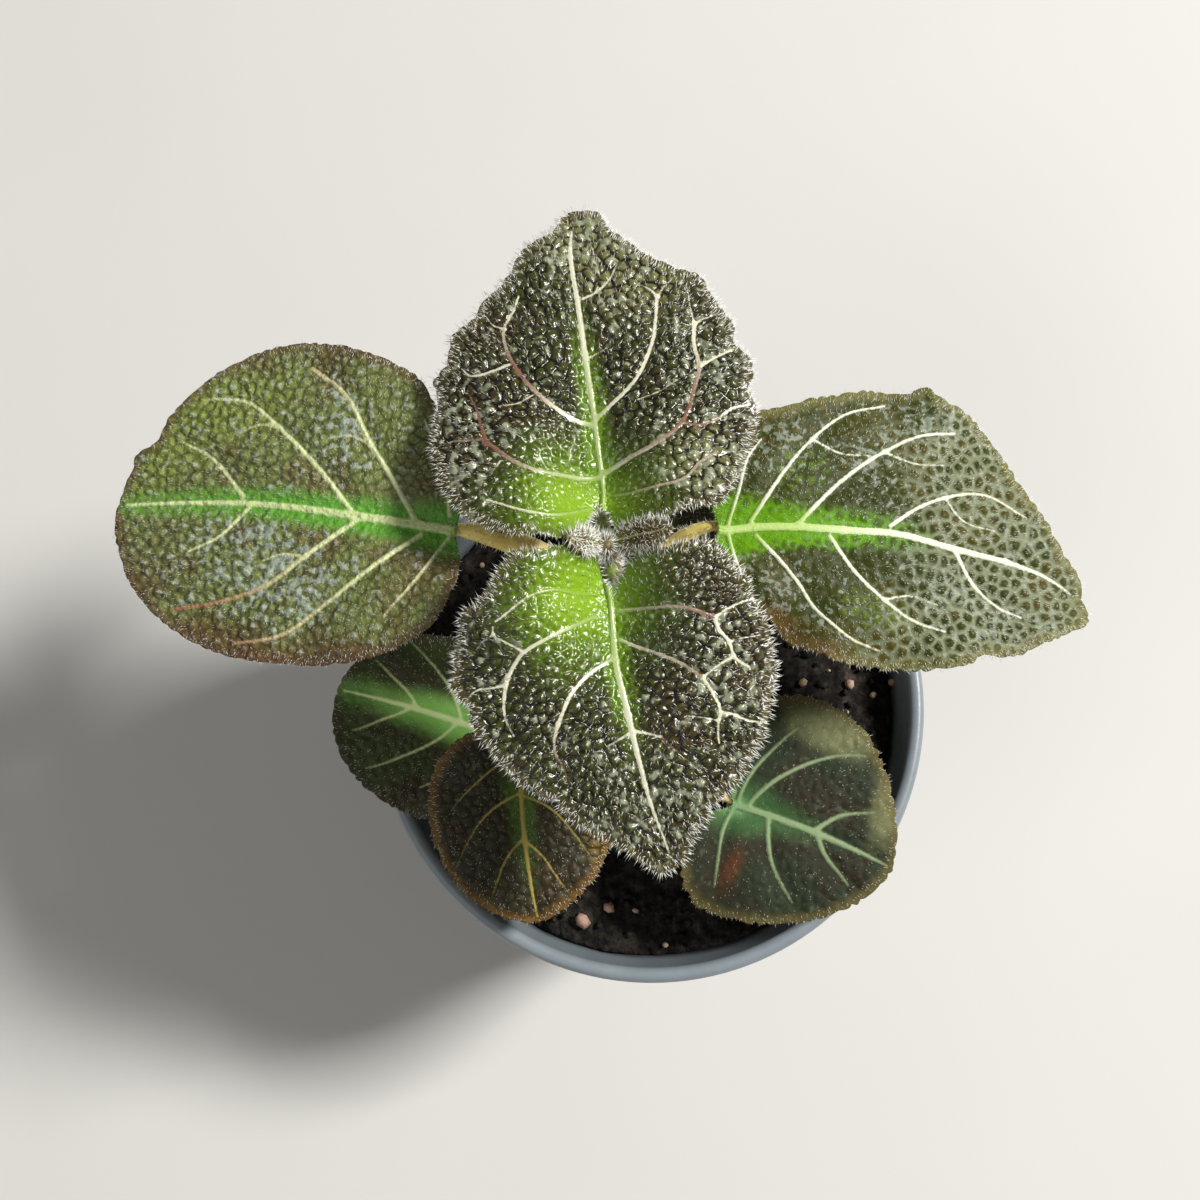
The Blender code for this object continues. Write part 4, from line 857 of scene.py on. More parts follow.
def toothed_half(leaf, side, sign, tooth, waves, draw):
    """A half edge with its waves, each a bell of a given height outwards, and rounded teeth: each
    is an arch of |sine|^0.8 with a sharp notch on either side and a depth of its own. There are no
    teeth at the petiole."""
    spacing, depth = tooth
    edge, walk = half_outline(side, leaf.length, EDGE_POINTS)
    slope = np.gradient(edge, axis=0)
    outward = unit(np.c_[-slope[:, 1], slope[:, 0]])
    walked = np.linspace(0.0, walk, EDGE_POINTS)
    teeth = round(walk / spacing)
    beat = teeth * walked / walk + 0.3 * np.sin(0.9 * walked + draw.uniform(0.0, 6.0))
    arch = np.abs(np.sin(math.pi * (beat + 0.5))) ** 0.8 - 0.62
    depths = depth * np.interp(beat, np.arange(-2, teeth + 3), draw.uniform(0.3, 1.7, teeth + 5))
    out = arch * depths * np.clip(walked / (2.0 * spacing) - 0.3, 0.0, 1.0)
    for place, width, height in waves:
        out = out + height * np.exp(-((walked - place) / width) ** 2)
    edge = edge + outward * out[:, None]
    edge[:, 1] = np.maximum(edge[:, 1], 0.0)
    edge[0, 1] = 0.0
    edge[-1, 1] = 0.0
    edge[:, 1] = sign * edge[:, 1] + midrib_bow(leaf, edge[:, 0])
    return edge


def through(places, amount):
    """A smooth curve through places: cubic pieces whose directions follow the neighbours'."""
    places = np.array(places)
    walked = walked_along(places)
    way = np.gradient(places, walked, axis=0)
    at = np.linspace(0.0, walked[-1], amount)
    low = np.clip(np.searchsorted(walked, at, "right") - 1, 0, len(places) - 2)
    span = (walked[low + 1] - walked[low])[:, None]
    part = (at - walked[low])[:, None] / span
    rise = part * part * (3.0 - 2.0 * part)
    leave = part * (1.0 - part) ** 2 * span * way[low]
    arrive = part * part * (part - 1.0) * span * way[low + 1]
    return (1.0 - rise) * places[low] + rise * places[low + 1] + leave + arrive


def vein_lines(name, leaf, look):
    """Veins as (path, half widths, brownness): the midrib, its laterals and their forks, each
    thinner towards its end. On a leaf that VEINS doesn't list, a lateral is one smooth bend from
    its foot to its end, with a slight sway."""
    lines = []
    for wide, thin, start_brown, end_brown, places in VEINS.get(name, ()):
        lines.append((through(places, VEIN_POINTS), np.linspace(wide, thin, VEIN_POINTS),
                      np.linspace(start_brown, end_brown, VEIN_POINTS)))
    if lines:
        return lines
    share = np.linspace(0.0, 1.0, 2 * VEIN_POINTS)
    along = np.linspace(-1.0, leaf.length - 0.8, 2 * VEIN_POINTS)
    lines.append((np.c_[along, midrib_bow(leaf, along)], look.midrib * (1.0 - 0.85 * share ** 3) + 0.04,
                  np.zeros(2 * VEIN_POINTS)))
    for veins, sign in ((leaf.veins_left, 1.0), (leaf.veins_right, -1.0)):
        for foot, end_along, end_across, bend in veins:
            start = np.array((foot, 0.0))
            end = np.array((end_along, end_across))
            straight = end - start
            pull = 0.5 * (start + end) + bend * np.array((straight[1], -straight[0]))
            path = bezier((start, pull, end + 0.06 * straight), LATERAL_POINTS)
            reach = np.linspace(0.0, 1.0, LATERAL_POINTS)
            sway = 0.22 * np.sin(5.0 * reach + foot) * np.sin(math.pi * reach)
            path = path + sway[:, None] * unit(np.array((-straight[1], straight[0])))
            path[:, 1] = sign * path[:, 1] + midrib_bow(leaf, path[:, 0])
            lines.append((path, look.lateral * (0.25 + 0.75 * (1.0 - reach) ** 0.7), 0.6 * reach))
    return lines


def from_line(places, path, half_widths, values):
    """Distance from each place to the side of a line of varying half width, and the line's value
    at the nearest point."""
    best = np.full(len(places), np.inf)
    value = np.zeros(len(places))
    for i, (start, end) in enumerate(zip(path, path[1:])):
        span = end - start
        share = np.clip((places - start) @ span / (span @ span), 0.0, 1.0)
        away = np.linalg.norm(places - start - share[:, None] * span, axis=1)
        away = away - half_widths[i] - share * (half_widths[i + 1] - half_widths[i])
        nearer = away < best
        best = np.where(nearer, away, best)
        value = np.where(nearer, values[i], value)
    return best, value


def bells(places, spots):
    """How much of a patch each place has: bells about spots, added up to 1 at most."""
    total = np.zeros(len(places))
    for along, across, half_length, half_width in spots:
        total += np.exp(-((places[:, 0] - along) / half_length) ** 2
                        - ((places[:, 1] - across) / half_width) ** 2)
    return np.minimum(total, 1.0)


def scatter(draw, low, high, spacing, amount):
    """Random places in a box, each kept if clear of all kept before by the spacing that holds
    there."""
    tries = draw.uniform(low, high, (amount, 2))
    kept = np.empty_like(tries)
    count = 0
    for place, clear in zip(tries, spacing(tries)):
        if count == 0 or np.min(np.sum((kept[:count] - place) ** 2, axis=1)) > clear * clear:
            kept[count] = place
            count += 1
    return kept[:count]


def nearest_tops(places, tops):
    """For each place, the distance to the border between its two nearest tops, by the rule
    (second^2 - first^2) / (2 * distance between the tops), how high it is on its cushion, by
    border / (border + first), and the nearest top's number."""
    border = np.empty(len(places))
    plump = np.empty(len(places))
    owner = np.empty(len(places), dtype=int)
    for start in range(0, len(places), TOPS_BATCH):
        batch = slice(start, start + TOPS_BATCH)
        part = places[batch]
        away = (part ** 2).sum(1)[:, None] - 2.0 * part @ tops.T + (tops ** 2).sum(1)[None, :]
        two = np.argpartition(away, 1, axis=1)[:, :2]
        rows = np.arange(len(part))[:, None]
        order = np.argsort(away[rows, two], axis=1)
        first, second = np.take_along_axis(two, order, axis=1).T
        apart = np.linalg.norm(tops[first] - tops[second], axis=1)
        near = np.maximum(away[rows[:, 0], first], 0.0)
        line = (away[rows[:, 0], second] - near) / (2.0 * apart)
        border[batch] = line
        plump[batch] = line / (line + np.sqrt(near) + 1e-6)
        owner[batch] = first
    return border, plump, owner


def square_rings(count):
    """A grid of count by count cells as nested square rings: each point's ring from 0 in the
    middle to 1 at the edge, and its share of the way round, which starts at the petiole and goes
    along the right half first."""
    line = np.linspace(-1.0, 1.0, count + 1)
    u, v = np.meshgrid(line, line, indexing="ij")
    ring = np.maximum(np.abs(u), np.abs(v))
    level = np.abs(u) >= np.abs(v)
    by_u = np.where(u > 0.0, 0.0, 4.0) + v / np.where(level & (ring > 0.0), u, 1.0)
    by_v = np.where(v > 0.0, 2.0, 6.0) - u / np.where(level, 1.0, v)
    turn = np.where(level, by_u, by_v)
    return ring.ravel(), (np.mod(turn + 4.0, 8.0) / 8.0).ravel()


def grid_faces(rows, columns):
    """Quads of a grid of points, seen anticlockwise with rows along x and columns along y."""
    i, j = np.meshgrid(np.arange(rows), np.arange(columns), indexing="ij")
    first = (i * (columns + 1) + j).ravel()
    across = columns + 1
    return np.c_[first, first + across, first + across + 1, first + 1]


def ring_faces(rings, sides):
    """Quads between closed rings of points that follow each other, and the caps that join the first
    and the last ring to the two poles that come after all rings."""
    i, j = np.meshgrid(np.arange(rings - 1), np.arange(sides), indexing="ij")
    a, b = (i * sides + j).ravel(), (i * sides + (j + 1) % sides).ravel()
    quads = np.c_[a, b, b + sides, a + sides]
    near = np.arange(sides)
    after = (near + 1) % sides
    last = (rings - 1) * sides
    start_pole, end_pole = np.full(sides, rings * sides), np.full(sides, rings * sides + 1)
    return quads, np.r_[np.c_[start_pole, after, near], np.c_[end_pole, last + near, last + after]]


def rim_order(count):
    """Numbers of a square grid's outer points, in order of their share of the way round."""
    ring, share = square_rings(count)
    outer = np.flatnonzero(ring > 1.0 - 1e-9)
    return outer[np.argsort(share[outer])]


# What the finishes read of a blade's fields
PAINTED = ("vein", "net", "plump", "cell", "margin", "green", "lime", "brown", "far", "light", "blush",
           "down_and_sheen")


class Blade:
    """The surface of one leaf's blade, in the leaf's own frame."""

    def __init__(self, name, leaf, look, seed):
        self.name, self.leaf, self.look = name, leaf, look
        self.draw = np.random.default_rng(seed)
        hub_along = HUB_SHARE * leaf.length
        self.hub = np.array((hub_along, float(midrib_bow(leaf, hub_along))))
        waves = WAVES.get(name, ((), ()))
        self.halves = (toothed_half(leaf, leaf.right, -1.0, look.tooth, waves[0], self.draw),
                       toothed_half(leaf, leaf.left, 1.0, look.tooth, waves[1], self.draw))
        self.lines = vein_lines(name, leaf, look)
        low = (-QUILT_BEHIND, -leaf.right.width - QUILT_BESIDE)
        high = (leaf.length + QUILT_AHEAD, leaf.left.width + QUILT_BESIDE)
        tries = int(QUILT_TRIES * (high[0] - low[0]) * (high[1] - low[1]) / look.cell ** 2)
        self.tops = scatter(self.draw, low, high, self.cushion_size, tries)
        self.cells = self.draw.uniform(0.0, 1.0, len(self.tops))
        x, y = self.edge(np.linspace(0.0, 1.0, MARGIN_POINTS))
        self.margin_line = (np.c_[x, y], np.zeros(MARGIN_POINTS), np.zeros(MARGIN_POINTS))

    def cushion_size(self, places):
        """Clear distance between cushion tops: smaller in the throat, and it varies in patches."""
        reach = np.hypot(places[:, 0], places[:, 1] - midrib_bow(self.leaf, places[:, 0]))
        patch = np.sin(0.31 * places[:, 0] + 1.0) * np.sin(0.37 * places[:, 1])
        grown = 0.5 + 0.5 * np.clip(reach / THROAT_REACH, 0.0, 1.0)
        return 0.8 * self.look.cell * grown * (1.0 + 0.14 * patch)

    def edge(self, share):
        """Points of the toothed edge by their share of the way round."""
        right, left = self.halves
        walked = np.where(share <= 0.5, 2.0 * share, 2.0 - 2.0 * share)
        even = np.linspace(0.0, 1.0, EDGE_POINTS)
        return [np.where(share <= 0.5, np.interp(walked, even, right[:, axis]),
                         np.interp(walked, even, left[:, axis])) for axis in (0, 1)]

    def flat(self, ring, share):
        """Places on the flat blade: the edge drawn in towards the hub by the ring's share."""
        x, y = self.edge(share)
        return np.c_[self.hub[0] + ring * (x - self.hub[0]), self.hub[1] + ring * (y - self.hub[1])]

    def fields(self, places):
        """What the relief and the finish need at each place: distances to the nearest vein, groove,
        midrib and margin in millimetres, and the rest as shares from 0 to 1."""
        away, brown = np.stack([from_line(places, *line) for line in self.lines], axis=1)
        nearest = np.argmin(away, axis=0)
        border, plump, owner = nearest_tops(places, self.tops)
        ribs = MIDRIB_PARTS.get(self.name, 1)
        rib = np.maximum(away[:ribs].min(axis=0), 0.0)
        half_width, reach = self.look.green
        heart_along, heart_across, middle = self.look.heart
        # The lime heart's middle sits off the midrib towards the lit side: painted light
        side = places[:, 1] - midrib_bow(self.leaf, places[:, 0]) - middle
        lime = np.exp(-(places[:, 0] / heart_along) ** 2 - (side / heart_across) ** 2)
        widen = 1.0 + 0.6 * np.exp(-(places[:, 0] / 5.0) ** 2)
        green = np.exp(-(rib / (half_width * widen)) ** 2) * np.clip(1.25 - places[:, 0] / reach, 0.0, 1.0)
        longer, wider, strength = HEART_HALO
        halo = np.exp(-(places[:, 0] / (longer * heart_along)) ** 2
                      - (side / (wider * heart_across)) ** 2)
        green = np.maximum(green, strength * halo)
        patches = PATCHES.get(self.name, {})
        return {
            "vein": -VEIN_BLEND * np.log(np.exp(-np.minimum(away, 6.0) / VEIN_BLEND).sum(axis=0)),
            "net": border,
            "rib": rib,
            "plump": plump,
            "cell": self.cells[owner],
            "margin": from_line(places, *self.margin_line)[0],
            "green": green,
            "lime": lime,
            "brown": brown[nearest, np.arange(len(places))],
            "far": places[:, 0] / self.leaf.length,
            **{patch: bells(places, patches.get(patch, ())) for patch in ("light", "blush", "down_and_sheen")},
        }

    def middle(self, places, fields):
        """Smooth blade, swollen between the veins: the swell fades by a bell of a vein's distance."""
        valley = np.exp(-(np.maximum(fields["vein"], 0.0) / SWELL_SPREAD) ** 2)
        return lift(self.leaf, places[:, 0], places[:, 1]) + self.look.swell * (0.35 - valley)

    def upper(self, places, fields):
        """Upper face: each cushion is a dome of its own height, lower near the margin, in the green
        heart and, on a soft leaf, near the petiole. A vein is a low round cord in its valley, and
        stouter where the petiole runs into it."""
        vein = fields["vein"]
        rise = np.minimum(fields["plump"], np.clip(vein / (0.34 * self.look.cell), 0.0, 1.0))
        sharp = rise * (2.0 - rise)
        dome = sharp + self.look.soft * (rise * rise * (3.0 - 2.0 * rise) - sharp)
        dome = dome * (0.65 + 0.5 * fields["cell"])
        dome = dome * (0.35 + 0.65 * np.clip(fields["margin"] / 2.0, 0.0, 1.0))
        dome = dome * (1.0 - 0.55 * np.maximum(fields["lime"], fields["green"]))
        dome = dome * (1.0 - self.look.soft * np.exp(-(fields["far"] / 0.4) ** 4))
        foot = np.exp(-np.maximum(places[:, 0], 0.0) / CORD_FOOT_REACH)
        cord = np.clip(1.0 - vein / 0.1, 0.0, 1.0) * np.clip(0.6 - vein / 0.25, 0.0, 1.4)
        cord = cord * (CORD_HEIGHT + CORD_FOOT_HEIGHT * foot)
        return self.middle(places, fields) + self.look.cushion * dome + cord

    def lower(self, places, fields):
        """Lower face: the middle surface less the blade's thickness, with ribs under the veins,
        stouter where the petiole runs into them, and a fine net of ribs under the grooves."""
        x, y = places.T
        step = 0.1
        slope_x = (lift(self.leaf, x + step, y) - lift(self.leaf, x - step, y)) / (2.0 * step)
        slope_y = (lift(self.leaf, x, y + step) - lift(self.leaf, x, y - step)) / (2.0 * step)
        steep = np.sqrt(1.0 + slope_x ** 2 + slope_y ** 2)
        inside = fields["margin"] / EDGE_RAMP
        thick = EDGE_THICK + (BLADE_THICK - EDGE_THICK) * np.clip(inside, 0.0, 1.0)
        stout = np.exp(-(fields["rib"] / 1.2) ** 2) * (self.look.midrib / 0.3) * fields["lime"]
        rib = RIB_DROP * np.exp(-(np.maximum(fields["vein"], 0.0) / RIB_SPREAD) ** 2)
        rib = rib * np.clip(inside, 0.2, 1.0) * (1.0 + stout)
        net = NET_RIB_DROP * np.exp(-(fields["net"] / NET_RIB_SPREAD) ** 2)
        net = net * np.clip(fields["margin"], 0.0, 1.0)
        return self.middle(places, fields) - steep * (thick + rib + net)

    def in_place(self, points):
        """From the leaf's own frame to the plant's."""
        turn = placement(self.leaf)
        return points @ turn[:3, :3].T + turn[:3, 3]

    def make(self, finish, under):
        """The closed blade: a fine upper grid, a lower grid of half as many cells a side, and a
        strip of three triangles for each of the lower grid's edge cells."""
        count = self.look.grid
        ring, share = square_rings(count)
        top_places = self.flat(ring, share)
        top_fields = self.fields(top_places)
        low_ring, low_share = square_rings(count // 2)
        low_places = self.flat(low_ring, low_share)
        low_fields = self.fields(low_places)
        points = np.r_[np.c_[top_places, self.upper(top_places, top_fields)],
                       np.c_[low_places, self.lower(low_places, low_fields)]]
        top_quads = grid_faces(count, count)
        low_quads = grid_faces(count // 2, count // 2)[:, ::-1] + len(top_places)
        top_rim = rim_order(count)
        low_rim = rim_order(count // 2) + len(top_places)
        t0, t1, t2 = top_rim[0::2], top_rim[1::2], np.roll(top_rim[0::2], -1)
        b0, b1 = low_rim, np.roll(low_rim, -1)
        strip = np.r_[np.c_[b0, t1, t0], np.c_[b0, b1, t1], np.c_[b1, t2, t1]]
        thing = mesh_piece(self.name + "_blade", self.in_place(points), np.r_[top_quads, low_quads], strip,
                           [finish, under])
        shown = np.zeros(len(thing.data.polygons), dtype=np.int32)
        shown[len(top_quads):len(top_quads) + len(low_quads)] = 1
        thing.data.polygons.foreach_set("material_index", shown)
        for field in PAINTED:
            carry(thing, field, np.r_[top_fields[field], low_fields[field]])
        return thing

    def hair_roots(self):
        """Even random places on the blade, fewer on the veins and in the grooves: the way round is
        drawn by the area that each stretch of the edge sweeps from the hub, and the ring is the
        square root of an even draw."""
        amount = int(HAIR_SPARE * self.look.hairs)
        share = np.linspace(0.0, 1.0, SWEEP_POINTS)
        sweep = self.flat(np.ones(SWEEP_POINTS), share) - self.hub
        area = np.abs(sweep[:-1, 0] * sweep[1:, 1] - sweep[:-1, 1] * sweep[1:, 0])
        total = np.r_[0.0, np.cumsum(area)]
        around = np.interp(self.draw.uniform(0.0, total[-1], amount), total, share)
        places = self.flat(np.sqrt(self.draw.uniform(0.0, HAIR_REACH, amount)), around)
        fields = self.fields(places)
        keep = fields["vein"] > self.draw.uniform(-0.25, 0.15, amount)
        keep &= fields["net"] > self.draw.uniform(-0.1, 0.3, amount)
        return places[keep][:self.look.hairs]

    def face_hairs(self):
        """Roots, aims and lengths of the upper face's hairs, which lean out towards the margin."""
        look, draw = self.look, self.draw
        places = self.hair_roots()
        step = 0.12
        height = self.upper(places, self.fields(places))
        right = places + (step, 0.0)
        back = places + (0.0, step)
        slope_x = (self.upper(right, self.fields(right)) - height) / step
        slope_y = (self.upper(back, self.fields(back)) - height) / step
        normal = unit(np.c_[-slope_x, -slope_y, np.ones(len(places))])
        normal = unit(normal + (0.0, 0.0, HAIR_RISE))
        outward = np.c_[unit(places - self.hub * (0.9, 1.0)), np.zeros(len(places))]
        from_hub = np.linalg.norm(places - self.hub, axis=1)
        lean = HAIR_LEAN[0] + HAIR_LEAN[1] * np.clip(from_hub / LEAN_REACH, 0.0, 1.0)
        aims = unit(normal + lean[:, None] * outward + draw.normal(0.0, HAIR_SPREAD, (len(places), 3)))
        return np.c_[places, height], aims, look.hair * draw.uniform(*HAIR_LENGTHS, len(places))

    def fringe_hairs(self):
        """Roots, aims and lengths of the margin's hairs, which point outwards and a little up."""
        look, draw = self.look, self.draw
        around = np.linspace(0.0, 1.0, look.fringe, endpoint=False)
        around = np.mod(around + draw.normal(0.0, 0.25 / look.fringe, look.fringe), 1.0)
        spoke = np.linalg.norm(self.flat(np.ones(look.fringe), around) - self.hub, axis=1)
        ring = 1.0 - draw.uniform(0.0, FRINGE_DEPTH, look.fringe) ** 1.5 / spoke
        rim = self.flat(ring, around)
        along = unit(self.flat(ring, np.mod(around + 0.004, 1.0)) - rim)
        aims = np.c_[along[:, 1], -along[:, 0], np.full(look.fringe, FRINGE_RISE)]
        aims = unit(aims + draw.normal(0.0, FRINGE_SPREAD, (look.fringe, 3)))
        height = self.upper(rim, self.fields(rim)) - 0.05
        length = FRINGE_LONGER * look.hair * draw.uniform(*FRINGE_LENGTHS, look.fringe)
        return np.c_[rim, height], aims, length

    def make_hairs(self, finish):
        """All hairs of the blade as one piece."""
        both = self.face_hairs(), self.fringe_hairs()
        roots, aims, lengths = (np.concatenate(part) for part in zip(*both))
        turn = placement(self.leaf)[:3, :3]
        return hair_piece(self.name + "_hairs", self.in_place(roots), aims @ turn.T, lengths, finish)


def hair_piece(name, roots, aims, lengths, finish):
    """Straight three-sided spikes, each closed by a small triangle that sits in the skin."""
    sideways = unit(np.cross(aims, (0.31, 0.52, 0.8)))
    other = np.cross(aims, sideways)
    radius = HAIR_RADIUS * np.clip(lengths, 0.5, 1.0)[:, None]
    corners = [roots - HAIR_SINK * aims + radius * (math.cos(turn) * sideways + math.sin(turn) * other)
               for turn in (0.0, math.tau / 3.0, 2.0 * math.tau / 3.0)]
    tips = roots + aims * lengths[:, None]
    points = np.stack([*corners, tips], axis=1).reshape(-1, 3)
    first = 4 * np.arange(len(roots))[:, None]
    shape = np.array(((0, 1, 3), (1, 2, 3), (2, 0, 3), (0, 2, 1)))
    triangles = (first[:, :, None] + shape[None, :, :]).reshape(-1, 3)
    thing = mesh_piece(name, points, (), triangles, [finish])
    carry(thing, "share", np.tile((0.0, 0.0, 0.0, 1.0), len(roots)))
    return thing


def frames_along(path):
    """Two directions square to a path and to each other at each of its points, without twist."""
    along = unit(np.gradient(path, axis=0, edge_order=2))
    across = np.empty_like(path)
    level = np.cross(along[0], (0.3, 0.2, 0.93) if abs(along[0][2]) < 0.9 else (0.0, 1.0, 0.0))
    for i, way in enumerate(along):
        level = level - way * np.dot(level, way)
        level = level / np.linalg.norm(level)
        across[i] = level
    return across, np.cross(along, across)


def tube(path, radii, sides):
    """A round tube along a path, closed by a pole at each end: the point at a turn is the
    path's point plus the radius times (cos turn * across + sin turn * other)."""
    across, other = frames_along(path)
    turn = (np.arange(sides) * math.tau / sides)[None, :, None]
    ring = np.cos(turn) * across[:, None, :] + np.sin(turn) * other[:, None, :]
    body = path[:, None, :] + radii[:, None, None] * ring
    return (np.r_[body.reshape(-1, 3), path[:1], path[-1:]], *ring_faces(len(path), sides))


def skin_hairs(draw, path, radii, amount, length, upturn):
    """Roots, aims and lengths of hairs that stand square on a stalk, with a random lean."""
    across, other = frames_along(path)
    at = draw.uniform(0.0, len(path) - 1.001, amount)
    low = at.astype(int)
    part = (at - low)[:, None]
    turn = draw.uniform(0.0, math.tau, amount)[:, None]
    out = np.cos(turn) * across[low] + np.sin(turn) * other[low]
    middle = path[low] + part * (path[low + 1] - path[low])
    radius = radii[low][:, None] + part * (radii[low + 1] - radii[low])[:, None]
    aims = unit(out + draw.normal(0.0, STALK_HAIR_SPREAD, (amount, 3)) + (0.0, 0.0, upturn))
    return middle + 0.97 * radius * out, aims, length * draw.uniform(*STALK_HAIR_LENGTHS, amount)


def stem_radius(heights):
    """Radius by height: an even taper, swollen by a bell at each leaf node."""
    low, high = STEM_ROUTE[0][2], STEM_ROUTE[-1][2]
    radius = STEM_RADIUS[0] + (STEM_RADIUS[1] - STEM_RADIUS[0]) * (heights - low) / (high - low)
    for height in sorted({leaf.node[2] for leaf in LEAVES.values()}):
        radius = radius + NODE_SWELL * np.exp(-((heights - height) / NODE_SPREAD) ** 2)
    return radius


def stem_place(height):
    """The stem's middle at a height."""
    path = bezier(STEM_ROUTE, STEM_POINTS)
    return np.array([np.interp(height, path[:, 2], path[:, axis]) for axis in range(3)])


def petiole_path(name, leaf):
    """Middle line of a petiole, from inside the stem's node to its end in the blade's rib: it
    leaves the node nearly level and comes in along the midrib."""
    turn = placement(leaf)
    middle = stem_place(leaf.node[2])
    sink = (PETIOLE_SINK, float(midrib_bow(leaf, PETIOLE_SINK)),
            float(lift(leaf, PETIOLE_SINK, 0.0)) - PETIOLE_UNDER)
    end = turn[:3, :3] @ sink + turn[:3, 3]
    back = turn[:3, :3] @ (0.0, 0.0, -PETIOLE_UNDER) + turn[:3, 3]
    out = back - middle
    out[2] *= PETIOLE_RISE
    out /= np.linalg.norm(out)
    skin = float(stem_radius(np.array(leaf.node[2])))
    foot = middle + out * (skin + STUB_LENGTH + GAP)
    span = np.linalg.norm(end - foot)
    sway = np.array(PETIOLE_SWAY.get(name, (0.0, 0.0, 0.0)))
    leave, arrive = PETIOLE_PULLS
    route = (foot, foot + out * leave * span + sway,
             end - turn[:3, 0] * arrive * span + 0.6 * sway, end)
    return np.r_[[middle + out * 0.4 * skin, middle + out * skin], bezier(route, PETIOLE_POINTS)]


def make_leaf(name, leaf, look, seed, finishes, draw):
    """Blade, petiole and hairs of one leaf, which all stand for its solid."""
    blade = Blade(name, leaf, look, seed)
    slot = SLOTS[look.finish]
    pieces = [blade.make(finishes[look.finish], finishes["under"]), blade.make_hairs(finishes["hair"])]
    path = petiole_path(name, leaf)
    from_end = np.linalg.norm(path - path[-1], axis=1)
    radii = look.stalk * np.interp(from_end, *PETIOLE_THINNING)
    radii[:len(PETIOLE_FLARE)] *= PETIOLE_FLARE
    skin = "petiole_green" if look.finish == "leaf_dark" else "petiole_skin_and_light"
    pieces.append(mesh_piece(name + "_petiole", *tube(path, radii, PETIOLE_SIDES), [finishes[skin]]))
    amount = int(PETIOLE_HAIRS_PER_MM * from_end[0]) + PETIOLE_HAIRS_LEAST
    hairs = skin_hairs(draw, path, radii, amount, *PETIOLE_HAIR)
    pieces.append(hair_piece(name + "_petiole_hairs", *hairs, finishes["hair"]))
    for piece in pieces:
        settle(piece, slot, name)


def settle(piece, slot, *nodes):
    """The piece moves with the plant and stands for nodes, which are hidden. The slot is not used."""
    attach(piece, BODY)
    if nodes:
        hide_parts(*nodes)


def make_tip(finishes, draw):
    """The young pair on the end of the stem, and the rounded seat between them with its hairs."""
    for seed, (name, leaf) in enumerate(TIP_LEAVES.items()):
        blade = Blade(name, leaf, LOOKS[name], TIP_SEED + seed)
        settle(blade.make(finishes["leaf_young"], finishes["leaf_young"]), "leaf_young", "tip_leaves")
        settle(blade.make_hairs(finishes["hair"]), "leaf_young")
    rise = np.linspace(0.0, CROWN_HEIGHT, CROWN_POINTS)
    path = np.array(CROWN_FOOT) + rise[:, None] * (0.0, 0.0, 1.0)
    radii = CROWN_RADIUS * np.sqrt(1.0 - np.linspace(0.0, 0.97, CROWN_POINTS) ** 3)
    settle(mesh_piece("crown", *tube(path, radii, CROWN_SIDES), [finishes["stem"]]), "leaf_young")
    hairs = skin_hairs(draw, path, radii, *CROWN_HAIRS)
    settle(hair_piece("crown_hairs", *hairs, finishes["hair"]), "leaf_young")


def make_stem(finishes, draw):
    """The leaning stem with its nodes, scored by faint rings, and its hairs above the soil."""
    path = bezier(STEM_ROUTE, STEM_RINGS)
    radii = stem_radius(path[:, 2]) + SCORE_DEPTH * np.sin(SCORE_BEAT * path[:, 2])
    skin = mesh_piece("stem_skin", *tube(path, radii, STEM_SIDES), [finishes["stem"]])
    settle(skin, "stem_skin", "stem")
    bare = path[:, 2] > SOIL_TOP + 1.0
    hairs = skin_hairs(draw, path[bare], radii[bare], *STEM_HAIRS)
    settle(hair_piece("stem_hairs", *hairs, finishes["hair"]), "stem_skin")


def pot_inner_radius(height):
    """Inside radius of the pot's tapered wall."""
    bottom = FOOT_RADIUS - WALL
    return bottom + (RIM_RADIUS - LIP_WIDTH - bottom) * height / RIM_HEIGHT


def pot_outer_radius(height):
    """Outside radius of the pot's tapered wall."""
    return pot_inner_radius(height) + WALL


def arc(middle, radius, start, end, amount):
    """Points of an arc in a profile, angles in degrees from outwards, turning upwards."""
    turn = np.radians(np.linspace(start, end, amount))
    return [(middle[0] + radius * math.cos(a), middle[1] + radius * math.sin(a)) for a in turn]


def revolve(profile, sides):
    """A profile of (radius, height) turned about +Z, whose first and last points are its poles."""
    radius, height = np.array(profile[1:-1]).T
    turn = np.arange(sides) * math.tau / sides
    points = np.stack([np.outer(radius, np.cos(turn)), np.outer(radius, np.sin(turn)),
                       np.repeat(height[:, None], sides, axis=1)], axis=-1).reshape(-1, 3)
    points = np.r_[points, [(0.0, 0.0, profile[0][1]), (0.0, 0.0, profile[-1][1])]]
    return (points, *ring_faces(len(radius), sides))


